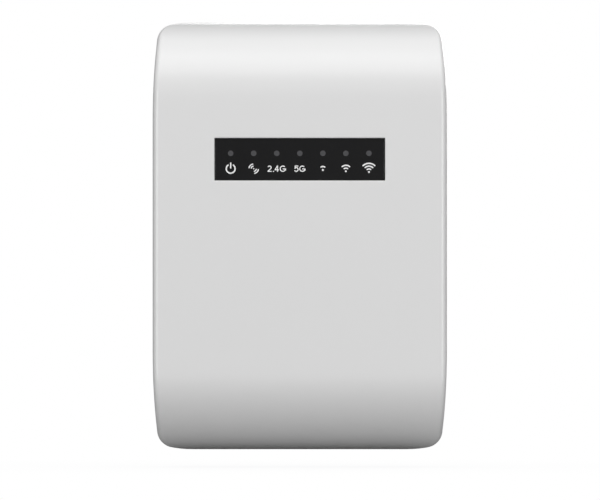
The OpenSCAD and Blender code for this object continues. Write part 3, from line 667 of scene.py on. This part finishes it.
def skinned(points, form, inset):
    # Moves the points of the plain form onto the rounded skin; the seam stays at its depth.
    atSeam = np.abs(points[:, 1] - splitY) < 1e-7
    for _ in range(7):
        normal = slope(points, form, inset)
        normal[atSeam, 1] = 0
        points = points - normal * formDistance(points, form, inset)[:, None]
    return points, slope(points, form, inset)


def coverShell(name, form, window=None):
    outer, faces, shut = coverGrid(form, 0.0, window)
    inner = coverGrid(form, cover["wall"], window, shut)[0]
    outer, normals = skinned(outer, form, 0.0)
    inner = skinned(inner, form, cover["wall"])[0]

    # Round the edge at the seam, and that of the window.
    def quarter(distance, radius):
        d = np.clip(distance, 0, radius)
        return radius - np.sqrt(np.maximum(radius ** 2 - (radius - d) ** 2, 0))

    toSeam = np.abs(outer[:, 1] - splitY)
    sink = quarter(toSeam, cover["seam"])
    atSeam = toSeam < 1e-7
    flatNormals = normals.copy()
    flatNormals[atSeam, 1] = 0
    outer = outer - flatNormals * sink[:, None]
    if window:
        dx = np.abs(outer[:, 0]) - window["high"][0]
        dz = np.maximum(window["low"][1] - outer[:, 2], outer[:, 2] - window["high"][1])
        away = np.maximum(dx, dz)
        onFace = outer[:, 1] < frontY + 1 * mm
        sink = np.where(onFace, quarter(np.maximum(away, 0), cover["windowEdge"]), 0)
        outer[:, 1] += sink

    count = len(outer)
    verts = np.vstack([outer, inner])
    allFaces = list(faces) + [tuple(k + count for k in reversed(f)) for f in faces]

    # Weld points that coincide, by the outer skin, so that open edges can be found.
    keys = {}
    same = np.arange(count)
    for k, p in enumerate(np.round(outer, 8)):
        same[k] = keys.setdefault(tuple(p), k)
    edges = {}
    for face in faces:
        for a, b in zip(face, face[1:] + face[:1]):
            sa, sb = same[a], same[b]
            if sa != sb:
                edges.setdefault((min(sa, sb), max(sa, sb)), []).append((a, b))
    for pairs in edges.values():
        if len(pairs) == 1:
            a, b = pairs[0]
            allFaces.append((b, a, a + count, b + count))
    shell = newPiece(name, verts, allFaces)
    return tidyMesh(shell, 40, 2e-7)


windowGap = 0.15 * mm
flangeWidth = 2 * mm
windowHalf = panelHigh[0] - flangeWidth
window = {"low": (-windowHalf, panelLow[2] + flangeWidth),
          "high": (windowHalf, panelHigh[2] - flangeWidth)}


def flaredCutter(name, plane, centre, size, radius, surface, inward, flare=0.22 * mm):
    # A cutter that opens out where it leaves the surface, so the hole gets a round edge.
    # inward is +1 or -1, the way from the surface into the cover.
    rings = []
    reach = 4 * mm
    stations = [(-1.0 * mm, flare)]
    for k in range(6):
        a = math.radians(90 * k / 5)
        stations.append((flare * math.sin(a), flare * (1 - math.sin(a)) if k else flare))
    stations.append((reach, 0))
    for depth, grow in stations:
        outline = roundOutline(size[0] + 2 * grow, size[1] + 2 * grow, radius + grow)
        rings.append(placed(outline, plane, surface + inward * depth, centre))
    return tidyMesh(ringLoft(name, rings), 30)


def boxOf(node):
    low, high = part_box(node)
    return np.array(low), np.array(high)


def sideMiddle(node):
    # The middle of a piece seen from the side, as (y, z).
    low, high = boxOf(node)
    return (low[1] + high[1]) / 2, (low[2] + high[2]) / 2


controls = {
    "gap": 0.15 * mm,            # clearance round each moving piece
    "pinhole": 0.9 * mm,
    "slotTravel": 2 * mm,
    "nub": (2.4 * mm, 2.6 * mm),
    "pairFlange": (0.5 * mm, 0.8 * mm),
    "powerFlange": (0.5 * mm, 0.5 * mm),
    "flangeThick": 0.8 * mm,
    "capEdge": 0.35 * mm,
    "stemRadius": 1.4 * mm,
    "stemEnd": 2.9 * mm,         # how far inside the cover's side the stem ends
}


def capSize(node, flange):
    # The face of a cap without its flange, as (depth, height).
    low, high = boxOf(node)
    return high[1] - low[1] - 2 * flange[0], high[2] - low[2] - 2 * flange[1]


def makeFrontCover():
    shell = coverShell("frontCoverShell", frontForm, window)
    side = halfWidth - cover["hair"]
    room = 2 * controls["gap"]
    cutters = []
    for name, node, flange in (("pairHole", "pair_button", controls["pairFlange"]),
                               ("powerHole", "power_button", controls["powerFlange"])):
        size = tuple(length + room for length in capSize(node, flange))
        cutters.append(flaredCutter(name, "x", sideMiddle(node), size, size[0] / 2, side, -1))
    y, z = sideMiddle("mode_slider")
    nubWide, nubHigh = controls["nub"]
    travel = controls["slotTravel"]
    cutters.append(flaredCutter("modeSlot", "x", (y, z + travel / 2),
                                (nubWide + room, nubHigh + travel + room), 0.35 * mm, -side, 1))
    across = 2 * controls["pinhole"]
    cutters.append(flaredCutter("resetHole", "x", sideMiddle("reset_plunger"),
                                (across, across), across / 2, -side, 1, flare=0.3 * mm))
    cutWith(shell, cutters)
    return shell


frontShell = tidyMesh(makeFrontCover(), 38, 1e-7)
paint(frontShell, coverWhite)
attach(frontShell, "root")
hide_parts("front_cover")
print("front cover made")


pins = {"radius": 2 * mm, "sleeveRadius": 1.8 * mm, "sleeve": 10 * mm, "root": -3 * mm,
        "length": 19 * mm, "half": 9.5 * mm, "core": 1.45 * mm}
rear = {
    "bossWidth": 35.3 * mm, "bossHeight": 13.7 * mm, "bossEdge": 0.9 * mm,
    "bossFillet": 1.3 * mm, "bossWall": 2 * mm, "bossEnd": 3 * mm,
    "ventWidth": 1.6 * mm, "ventPitch": 3.8 * mm, "sideVents": 11, "topVents": 9,
    "ventFromSeam": 3.5 * mm, "ventFromBack": 5 * mm,
    "labelWidth": 34 * mm, "labelHeight": 18 * mm, "labelDrop": 22 * mm, "labelDepth": 0.3 * mm,
    "portWidth": 12.7 * mm, "portDeep": 8.0 * mm, "portFromSeam": 7.2 * mm,
    "portFlare": 0.25 * mm,
    "wellRadius": 2.65 * mm, "wellDepth": 13 * mm, "screwRadius": 1.4 * mm,
    "pillarInset": 8 * mm, "pillarFromEnd": 14 * mm, "pillarRadius": 3 * mm,
}
pillarX = halfWidth - rear["pillarInset"]
pillarPlaces = [(x, z) for x in (-pillarX, pillarX)
                for z in (frontLow[2] + rear["pillarFromEnd"],
                          frontHigh[2] - rear["pillarFromEnd"])]


def makeBoss():
    w, h = rear["bossWidth"], rear["bossHeight"]
    fillet, edge = rear["bossFillet"], rear["bossEdge"]
    stations = [(backY - rear["bossWall"] - 0.5 * mm, 0), (backY - 0.4 * mm, 0),
                (backY - 0.05 * mm, fillet)]
    for k in range(9):
        a = math.radians(90 * k / 8)
        stations.append((backY + fillet * (1 - math.cos(a)), fillet * (1 - math.sin(a))))
    stations.append((-edge - 3 * mm, 0))
    for k in range(9):
        a = math.radians(90 * k / 8)
        stations.append((-edge * (1 - math.sin(a)), -edge * (1 - math.cos(a))))
    rings = []
    for y, grow in stations:
        outline = roundOutline(w + 2 * grow, h + 2 * grow, h / 2 + grow, 18)
        rings.append(placed(outline, "y", y, (0, 0)))
    return tidyMesh(ringLoft("boss", rings, hold=0.5 * mm), 30)


def slotCutter(name, centre, size):
    # A block with round ends along its Y length, for a vent slot.
    width, depth, height = size
    thin = min(width, height)
    flat = roundOutline(depth, thin, thin / 2, 6)
    if height < width:
        rings = [[(centre[0] + s * width / 2, centre[1] + u, centre[2] + v) for u, v in flat]
                 for s in (-1, 1)]
    else:
        rings = [[(centre[0] + v, centre[1] + u, centre[2] + s * height / 2) for u, v in flat]
                 for s in (-1, 1)]
    return tidyMesh(ringLoft(name, rings), 30)


def makeRearCover():
    shell = coverShell("rearCoverShell", rearForm)
    cutWith(shell, [makeBoss()], "UNION")
    cutters = []
    w, h, wall = rear["bossWidth"], rear["bossHeight"], rear["bossWall"]
    hollow = placed(roundOutline(w - 2 * wall, h - 2 * wall, h / 2 - wall, 14), "y",
                    backY - 4 * mm, (0, 0))
    hollowEnd = [(x, -rear["bossEnd"], z) for x, _, z in hollow]
    cutters.append(tidyMesh(ringLoft("bossHollow", [hollow, hollowEnd]), 30))
    ventStart = splitY + rear["ventFromSeam"]
    ventEnd = backY - rear["ventFromBack"]
    ventY, ventLong = (ventStart + ventEnd) / 2, ventEnd - ventStart
    for i in range(rear["sideVents"]):
        z = middleZ + (i - (rear["sideVents"] - 1) / 2) * rear["ventPitch"]
        for s in (-1, 1):
            cutters.append(slotCutter("sideVent", (s * halfWidth, ventY, z),
                                      (8 * mm, ventLong, rear["ventWidth"])))
    for i in range(rear["topVents"]):
        x = (i - (rear["topVents"] - 1) / 2) * rear["ventPitch"]
        cutters.append(slotCutter("topVent", (x, ventY, middleZ + halfHeight),
                                  (rear["ventWidth"], ventLong, 8 * mm)))
    across = 2 * rear["wellRadius"]
    for place in pillarPlaces:
        cutters.append(flaredCutter("well", "y", place, (across, across), across / 2,
                                    backY, -1, flare=0.35 * mm))
    portMiddle = splitY + rear["portFromSeam"]
    footZ = frontLow[2]
    flare = rear["portFlare"]
    rings = []
    for z, grow in ((footZ - 1 * mm, flare), (footZ + 0.02 * mm, flare),
                    (footZ + flare, 0), (footZ + 3 * mm, 0)):
        ring = roundOutline(rear["portWidth"] + 2 * grow, rear["portDeep"] + 2 * grow,
                            0.4 * mm + grow, 4)
        rings.append([(u, portMiddle + v, z) for u, v in ring])
    cutters.append(tidyMesh(ringLoft("port", rings), 30))
    label = roundOutline(rear["labelWidth"], rear["labelHeight"], 1 * mm, 6)
    labelCentre = (0, middleZ - rear["labelDrop"])
    cutters.append(tidyMesh(ringLoft("labelField", [
        placed(label, "y", backY - rear["labelDepth"], labelCentre),
        placed(label, "y", backY + 2 * mm, labelCentre)]), 30))
    for s in (-1, 1):
        cutters.append(rod("pinHole", "y", (s * pins["half"], 0),
                           pins["sleeveRadius"] + 0.03 * mm, (-5 * mm, 1 * mm)))
    cutWith(shell, cutters)
    return tidyMesh(shell, 38, 1e-7)


def makePillars():
    # The tubes inside the shell that the case screws go through.
    well, outerR, screw = rear["wellRadius"], rear["pillarRadius"], rear["screwRadius"]
    start = backY - cover["wall"] + 0.05 * mm
    deep = backY - rear["wellDepth"]
    end = splitY - 1 * mm
    profile = [(outerR, start), (outerR, end), (screw, end), (screw, deep), (well, deep),
               (well, start), (outerR, start)]
    tubes = [lathe("tube", profile, place, 40, capped=False) for place in pillarPlaces]
    return tidyMesh(joined("rearPillars", tubes), 38, 1e-7)


rearShell = makeRearCover()
pillarMesh = makePillars()
for piece in (rearShell, pillarMesh):
    paint(piece, coverWhite)
    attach(piece, "root")
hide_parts("rear_cover")
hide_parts("rear_cover")
print("rear cover made")


panel = {"edge": 0.06 * mm, "lampRadius": 0.63 * mm, "tipRadius": 0.6 * mm,
         "pitch": 5.16 * mm}


def makePanel():
    low, high = panelLow, panelHigh
    faceY = low[1]
    halfW = windowHalf - windowGap
    zLow, zHigh = window["low"][1] + windowGap, window["high"][1] - windowGap
    centre = (0, (zLow + zHigh) / 2)
    lens = softBlock("lens", "y", centre, (2 * halfW, zHigh - zLow),
                     (high[1] - 0.8 * mm, faceY), 0.3 * mm, panel["edge"])
    flange = softBlock("lensFlange", "y", ((low[0] + high[0]) / 2, (low[2] + high[2]) / 2),
                       (high[0] - low[0], high[2] - low[2]),
                       (high[1], high[1] - 1 * mm + 0.01 * mm), 0.6 * mm, 0.1 * mm)
    cutWith(lens, [flange], "UNION")
    lampZ = sideMiddle("indicator_lamps")[1]
    holes = [rod("lampHole", "y", (k * panel["pitch"], lampZ), panel["lampRadius"],
                 (faceY - 1 * mm, high[1] + 1 * mm)) for k in range(-3, 4)]
    cutWith(lens, holes)
    lens.name = "indicatorLens"
    return tidyMesh(lens, 35, 1e-7)


lens = makePanel()
paint(lens, finishes["panel"])
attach(lens, "root")
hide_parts("indicator_panel")
print("panel made")


marks = {"stroke": 0.3 * mm, "thinStroke": 0.24 * mm, "rowDrop": 2.1 * mm, "letterScale": 0.94}
# Each mark in millimetres: its place along the row, how far it lies off the row's middle,
# arcs (radius, middle angle, half span), the radius of a dot, and the ends of a bar.
# A thin mark is drawn with the thin stroke.
markShapes = [
    {"x": -3, "drop": 0.0, "arcs": [(0.99, -90, 144)], "bar": (0.15, 1.26)},
    {"x": -2, "drop": 0.0, "thin": True, "dot": 0.15,
     "arcs": [(1.06, 135, 34), (0.58, 135, 32), (1.06, -45, 34), (0.58, -45, 32)]},
    {"x": 1, "drop": -0.3, "arcs": [(0.79, 90, 32)], "dot": 0.22},
    {"x": 2, "drop": -0.57, "arcs": [(0.7, 90, 34), (1.33, 90, 39)], "dot": 0.21},
    {"x": 3, "drop": -0.73, "arcs": [(0.68, 90, 36), (1.3, 90, 41), (1.93, 90, 43)],
     "dot": 0.21},
]


def strokeAlong(points, width, back, face, plane="y"):
    # A flat ribbon with round ends along 2-D points, as a closed solid.
    left, right = [], []
    count = len(points)
    for k in range(count):
        before, after = points[max(k - 1, 0)], points[min(k + 1, count - 1)]
        dx, dz = after[0] - before[0], after[1] - before[1]
        length = math.hypot(dx, dz)
        nx, nz = -dz / length * width / 2, dx / length * width / 2
        left.append((points[k][0] + nx, points[k][1] + nz))
        right.append((points[k][0] - nx, points[k][1] - nz))

    def cap(middle, start):
        base = math.atan2(start[1] - middle[1], start[0] - middle[0])
        return [(middle[0] + width / 2 * math.cos(base - math.pi * k / 8),
                 middle[1] + width / 2 * math.sin(base - math.pi * k / 8)) for k in range(1, 8)]

    outline = left + cap(points[-1], left[-1]) + right[::-1] + cap(points[0], right[0])
    return ringLoft("stroke", [placed(outline, plane, back, (0, 0)),
                               placed(outline, plane, face, (0, 0))])


def arcPoints(centre, radius, middle, half, steps=28):
    # An arc as 2-D points, from its middle angle and half span in degrees.
    angles = [math.radians(middle - half + 2 * half * k / steps) for k in range(steps + 1)]
    return [(centre[0] + radius * math.cos(a), centre[1] + radius * math.sin(a))
            for a in angles]


def makeMarks():
    rowZ = (window["low"][1] + window["high"][1]) / 2 - marks["rowDrop"]
    yBack, yFace = panelLow[1] + 0.03 * mm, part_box("panel_marks")[0][1]
    pieces = []
    for shape in markShapes:
        cx, cz = shape["x"] * panel["pitch"], rowZ + shape["drop"] * mm
        width = marks["thinStroke"] if "thin" in shape else marks["stroke"]
        for radius, middle, half in shape["arcs"]:
            pieces.append(strokeAlong(arcPoints((cx, cz), radius * mm, middle, half), width,
                                      yBack, yFace))
        if "dot" in shape:
            pieces.append(rod("dot", "y", (cx, cz), shape["dot"] * mm, (yBack, yFace), 24))
        if "bar" in shape:
            start, end = shape["bar"]
            pieces.append(strokeAlong([(cx, cz + start * mm), (cx, cz + end * mm)],
                                      marks["stroke"], yBack, yFace))
    # The figures and letters take the construction's outlines, a little smaller.
    source = frame["nodes"]["panel_marks"]
    bm = bmesh.new()
    bm.from_mesh(source.data)
    bm.transform(source.matrix_world)
    unwanted = [v for v in bm.verts if not -1.45 < v.co.x / panel["pitch"] < 0.5]
    bmesh.ops.delete(bm, geom=unwanted, context="VERTS")
    middle = (max(v.co.z for v in bm.verts) + min(v.co.z for v in bm.verts)) / 2
    for v in bm.verts:
        label = -panel["pitch"] if v.co.x < -0.5 * panel["pitch"] else 0
        v.co.x = label + (v.co.x - label) * marks["letterScale"]
        v.co.z = middle + (v.co.z - middle) * marks["letterScale"]
    letters = bpy.data.meshes.new("letters")
    bm.to_mesh(letters)
    bm.free()
    piece = bpy.data.objects.new("letters", letters)
    bpy.context.scene.collection.objects.link(piece)
    pieces.append(piece)
    return tidyMesh(joined("panelMarks", pieces), 30, 1e-7)


def makeTips():
    # The seven ends of the light guide, slightly domed, just behind the panel's face.
    lampZ = sideMiddle("indicator_lamps")[1]
    radius = panel["tipRadius"]
    face = panelLow[1] + 0.09 * mm
    profile = [(0.01 * mm, face)]
    for step in range(1, 9):
        a = math.radians(90 * step / 8)
        profile.append((radius * math.sin(a), face + 0.12 * mm * (1 - math.cos(a))))
    profile += [(radius, face + 0.5 * mm), (0.01 * mm, face + 0.5 * mm)]
    tips = [lathe("tip", profile, (k * panel["pitch"], lampZ), 32) for k in range(-3, 4)]
    return tidyMesh(joined("lightTips", tips), 40, 1e-7)


markPiece = makeMarks()
tipPiece = makeTips()
for piece, slotName in ((markPiece, "marks"), (tipPiece, "guide")):
    paint(piece, finishes[slotName])
    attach(piece, "root")
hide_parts("panel_marks")
print("marks made")


def makeCap(name, node, flange, dish):
    # A moulded cap: a flange inside the wall, a round-edged face and a shallow dish in it.
    centre, size = sideMiddle(node), capSize(node, flange)
    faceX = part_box(node)[1][0]
    flangeOut = halfWidth - cover["wall"] - controls["gap"]
    flangeIn = flangeOut - controls["flangeThick"]
    radius = size[0] / 2
    outer = roundOutline(size[0] + 2 * flange[0], size[1] + 2 * flange[1],
                         radius + flange[0], 14)
    rings = [placed(outer, "x", flangeIn, centre), placed(outer, "x", flangeOut, centre),
             placed(roundOutline(*size, radius, 14), "x", flangeOut, centre)]
    edge = controls["capEdge"]
    for k in range(7):
        a = math.radians(90 * k / 6)
        inset = edge * (1 - math.cos(a))
        outline = roundOutline(size[0] - 2 * inset, size[1] - 2 * inset, radius - inset, 14)
        rings.append(placed(outline, "x", faceX - edge * (1 - math.sin(a)), centre))
    for k in range(1, 9):
        s = k / 9
        inset = edge + (radius - edge) * s
        outline = roundOutline(size[0] - 2 * inset, size[1] - 2 * inset,
                               max(radius - inset, 0.02 * mm), 14)
        rings.append(placed(outline, "x", faceX - dish * math.sin(math.radians(90 * s)) ** 2,
                            centre))
    return tidyMesh(ringLoft(name, rings), 32)


pairCap = makeCap("pairCap", "pair_button", controls["pairFlange"], 0.25 * mm)
powerCap = makeCap("powerCap", "power_button", controls["powerFlange"], 0.2 * mm)
stem = rod("powerStem", "x", sideMiddle("power_button"), controls["stemRadius"],
           (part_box("power_button")[0][0], halfWidth - controls["stemEnd"]))
powerWhole = tidyMesh(joined("powerCapWithStem", [powerCap, stem]), 32)
for piece, body, node in ((pairCap, "pair_button", "pair_button"),
                          (powerWhole, "power_button", "power_button")):
    paint(piece, capWhite)
    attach(piece, body)
    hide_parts(node)


def makeSlider():
    # The nub has three ridges across it; its foot sits in the switch.
    low, high = boxOf("mode_slider")
    nubWide, nubHigh = controls["nub"]
    nubY, nubZ = sideMiddle("mode_slider")
    outX = low[0]
    steps = 36
    ridges = []
    for k in range(steps + 1):
        v = -nubHigh / 2 + nubHigh * k / steps
        wave = 0.5 - 0.5 * math.cos(2 * math.pi * 3 * k / steps)
        ridges.append((v, outX + 0.22 * mm * (1 - wave) if 0 < k < steps else outX + 0.3 * mm))
    verts, faces = [], []
    for s in (-1, 1):
        for v, x in ridges:
            verts.append((x, nubY + s * nubWide / 2, nubZ + v))
    backX = high[0] - 0.02 * mm
    for s in (-1, 1):
        for v in (-nubHigh / 2, nubHigh / 2):
            verts.append((backX, nubY + s * nubWide / 2, nubZ + v))
    n = steps + 1
    for k in range(steps):
        faces.append((k, k + 1, n + k + 1, n + k))
    a, b, c, d = 2 * n, 2 * n + 1, 2 * n + 2, 2 * n + 3
    faces.append(tuple([a] + list(range(n)) + [b]))
    faces.append(tuple(([c] + list(range(n, 2 * n)) + [d])[::-1]))
    faces += [(a, c, n, 0), (b, n - 1, 2 * n - 1, d), (a, b, d, c)]
    nub = tidyMesh(newPiece("sliderNub", verts, faces), 28)
    foot = softBlock("sliderFoot", "x", (nubY, nubZ),
                     (high[1] - low[1], high[2] - low[2]),
                     (high[0] - 0.02 * mm, high[0] - 1.3 * mm), 0.25 * mm, 0.1 * mm)
    return tidyMesh(joined("modeSlider", [nub, foot]), 28)


slider = makeSlider()
paint(slider, sliderGrey)
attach(slider, "mode_slider")
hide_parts("mode_slider")
print("controls made")


prints = {"stroke": 0.28 * mm, "thick": 0.03 * mm, "aside": 4.6 * mm, "slotAside": 3.1 * mm,
          "arrowRadius": 1.9 * mm, "arrowEnd": math.radians(170)}


def makePrints():
    # Small plain signs on the sides: power, link, three ticks and an arrow round the pinhole.
    width = prints["stroke"]
    side = halfWidth - cover["hair"]
    right = (side - 0.02 * mm, side + prints["thick"])
    left = (-right[0], -right[1])
    pieces = []

    def draw(points, depths):
        pieces.append(strokeAlong(points, width, *depths, plane="x"))

    y, z = sideMiddle("power_button")
    y -= prints["aside"]
    draw(arcPoints((y, z), 0.95 * mm, -90, 142), right)
    draw([(y, z + 0.2 * mm), (y, z + 1.3 * mm)], right)
    y, z = sideMiddle("pair_button")
    y -= prints["aside"]
    for turn in (135, -45):
        for radius in (0.62 * mm, 1.15 * mm):
            draw(arcPoints((y, z), radius, turn, 34, 12), right)
    pieces.append(rod("printDot", "x", (y, z), 0.18 * mm, right, 24))
    y, z = sideMiddle("mode_slider")
    y -= prints["slotAside"]
    for k in range(3):
        draw([(y, z + k * mm), (y - (0.5 + 0.3 * k) * mm, z + k * mm)], left)
    y, z = sideMiddle("reset_plunger")
    radius, end = prints["arrowRadius"], prints["arrowEnd"]
    draw(arcPoints((y, z), radius, 20, 150), left)
    tip = (y + radius * math.cos(end), z + radius * math.sin(end))
    draw([(tip[0] - 0.45 * mm, tip[1] + 0.4 * mm), tip, (tip[0] + 0.55 * mm, tip[1] + 0.3 * mm)],
         left)
    return tidyMesh(joined("sidePrints", pieces), 30, 1e-7)


printPiece = makePrints()
paint(printPiece, printGrey)
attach(printPiece, "root")
print("side prints made")


def makePins():
    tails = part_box("plug_pins")[0][1]
    r, end = pins["radius"], pins["length"]
    profile = [(0.01 * mm, tails), (0.8 * mm, tails), (1 * mm, tails + 0.2 * mm),
               (1 * mm, -8 * mm), (r, -8 * mm), (r, -4 * mm), (2.8 * mm, -4 * mm),
               (2.8 * mm, pins["root"]), (pins["core"], pins["root"]),
               (pins["core"], pins["sleeve"] - 0.02 * mm),
               (r - 0.06 * mm, pins["sleeve"]), (r, pins["sleeve"] + 0.08 * mm)]
    nose = 1.5 * mm
    for k in range(13):   # the end is a flattened dome
        a = math.radians(90 * k / 12)
        profile.append((max(r - nose * (1 - math.cos(a)) * 1.05, 0.01 * mm),
                        end - nose * (1 - math.sin(a))))
    profile.append((0.01 * mm, end))
    return [lathe("pin", profile, (s * pins["half"], 0)) for s in (-1, 1)]


def makeSleeves():
    # Insulation with a soft edge at its foot and one faint ring left by the mould.
    r, long = pins["sleeveRadius"], pins["sleeve"]
    inner = pins["core"] + 0.01 * mm
    foot = pins["root"] + 0.02 * mm
    profile = [(inner, foot), (r - 0.04 * mm, foot), (r, foot + 0.08 * mm),
               (r, long * 0.93), (r - 0.03 * mm, long * 0.935), (r - 0.03 * mm, long * 0.945),
               (r, long * 0.95), (r, long - 0.12 * mm), (r - 0.05 * mm, long - 0.03 * mm),
               (inner, long - 0.03 * mm), (inner, foot)]
    return [lathe("sleeve", profile, (s * pins["half"], 0), capped=False) for s in (-1, 1)]


pinPair = tidyMesh(joined("plugPins", makePins()), 25, 1e-7)
sleevePair = tidyMesh(joined("pinSleeves", makeSleeves()), 25, 1e-7)
for piece, material, node, slotName in ((pinPair, pinNickel, "plug_pins", "pin"),
                                        (sleevePair, sleeveBlack, "pin_sleeves", "sleeve")):
    paint(piece, material)
    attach(piece, "root")
    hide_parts(node)
print("plug made")


studio = {
    "floorDrop": 0.004, "floorHalf": 30.0, "bounce": 0.32, "shadowReach": 0.11,
    "ambient": 0.12,
    "distance": 3.2, "share": 0.8575, "rise": 0.0282, "slide": -0.0004,
}
# Name: azimuth from the front, height angle, distance, size, power.
lamps = {
    "keyLeft": (-26, 4.5, 1.4, (0.6, 0.34), 4.7),
    "keyRight": (26, 4.5, 1.4, (0.6, 0.34), 4.7),
    "upper": (0, 55, 1.1, (1.2, 0.7), 5.6),
    "over": (0, 86, 1.0, (1.2, 0.8), 3.4),
    "behind": (160, 14, 1.5, (1.1, 0.6), 10),
}


def isSeen(tree):
    # 1 for rays that should find the plain white background.
    path = tree.nodes.new("ShaderNodeLightPath")
    return mathNode(tree, "ADD", path.outputs["Is Camera Ray"],
                    path.outputs["Is Transmission Ray"], clamp=True)


def makeFloor():
    half = studio["floorHalf"]
    z = frontLow[2] - studio["floorDrop"]
    floor = newPiece("studioFloor", [(-half, -half, z), (half, -half, z), (half, half, z),
                                     (-half, half, z)], [(0, 1, 2, 3)])
    material = bpy.data.materials.new("floorPale")
    material.use_nodes = True
    tree = material.node_tree
    tree.nodes.clear()
    output = tree.nodes.new("ShaderNodeOutputMaterial")
    diffuse = tree.nodes.new("ShaderNodeBsdfDiffuse")
    diffuse.inputs["Color"].default_value = (*[studio["bounce"]] * 3, 1)
    glow = tree.nodes.new("ShaderNodeEmission")
    # Painted shadow: for camera rays the floor's white glow is darkened towards 0.95 by ambient
    # occlusion under and round the object.
    paintedShadowOcclusion = tree.nodes.new("ShaderNodeAmbientOcclusion")
    paintedShadowOcclusion.inputs["Distance"].default_value = studio["shadowReach"]
    paintedShadowOcclusion.samples = 12
    clearance = mathNode(tree, "POWER", paintedShadowOcclusion.outputs["AO"], 1.3)
    tree.links.new(mixedColor(tree, clearance, (0.95, 0.95, 0.955, 1), (1, 1, 1, 1)),
                   glow.inputs["Color"])
    mix = tree.nodes.new("ShaderNodeMixShader")
    tree.links.new(isSeen(tree), mix.inputs[0])
    tree.links.new(diffuse.outputs[0], mix.inputs[1])
    tree.links.new(glow.outputs[0], mix.inputs[2])
    oneSided = tree.nodes.new("ShaderNodeMixShader")
    tree.links.new(tree.nodes.new("ShaderNodeNewGeometry").outputs["Backfacing"],
                   oneSided.inputs[0])
    tree.links.new(mix.outputs[0], oneSided.inputs[1])
    tree.links.new(tree.nodes.new("ShaderNodeBsdfTransparent").outputs[0], oneSided.inputs[2])
    tree.links.new(oneSided.outputs[0], output.inputs["Surface"])
    floor.data.materials.append(material)


def makeWorld():
    world = bpy.data.worlds.new("studio")
    bpy.context.scene.world = world
    world.use_nodes = True
    tree = world.node_tree
    tree.nodes.clear()
    output = tree.nodes.new("ShaderNodeOutputWorld")
    fill = tree.nodes.new("ShaderNodeBackground")
    fill.inputs["Color"].default_value = (1, 1, 1, 1)
    fill.inputs["Strength"].default_value = studio["ambient"]
    seen = tree.nodes.new("ShaderNodeBackground")
    seen.inputs["Color"].default_value = (1, 1, 1, 1)
    mix = tree.nodes.new("ShaderNodeMixShader")
    tree.links.new(isSeen(tree), mix.inputs[0])
    tree.links.new(fill.outputs[0], mix.inputs[1])
    tree.links.new(seen.outputs[0], mix.inputs[2])
    tree.links.new(mix.outputs[0], output.inputs["Surface"])


def makeLights():
    middle = Vector((0, bodyMiddle[1], middleZ))
    for name, (azimuth, height, distance, size, power) in lamps.items():
        turn, rise = math.radians(azimuth), math.radians(height)
        away = Vector((math.sin(turn) * math.cos(rise), -math.cos(turn) * math.cos(rise),
                       math.sin(rise)))
        data = bpy.data.lights.new(name, "AREA")
        data.shape = "RECTANGLE"
        data.size, data.size_y = size
        data.energy = power
        lamp = bpy.data.objects.new(name, data)
        bpy.context.scene.collection.objects.link(lamp)
        lamp.location = middle + away * distance
        lamp.rotation_euler = (-away).to_track_quat("-Z", "Y").to_euler()


def makeCamera():
    data = bpy.data.cameras.new("view")
    camera = bpy.data.objects.new("view", data)
    bpy.context.scene.collection.objects.link(camera)
    frameHigh = 2 * halfHeight / studio["share"]     # what the view spans at the front face
    camera.location = (studio["slide"] * -1 * frameHigh, frontY - studio["distance"],
                       middleZ - studio["rise"] * frameHigh)
    camera.rotation_euler = (math.radians(90), 0, 0)
    data.sensor_fit = "HORIZONTAL"
    data.sensor_width = 36
    data.lens = 36 * studio["distance"] / (frameHigh * 600 / 500)
    data.clip_end = 200
    bpy.context.scene.camera = camera


makeFloor()
makeWorld()
makeLights()
makeCamera()
bpy.context.scene.view_settings.view_transform = "Standard"
print("studio made")
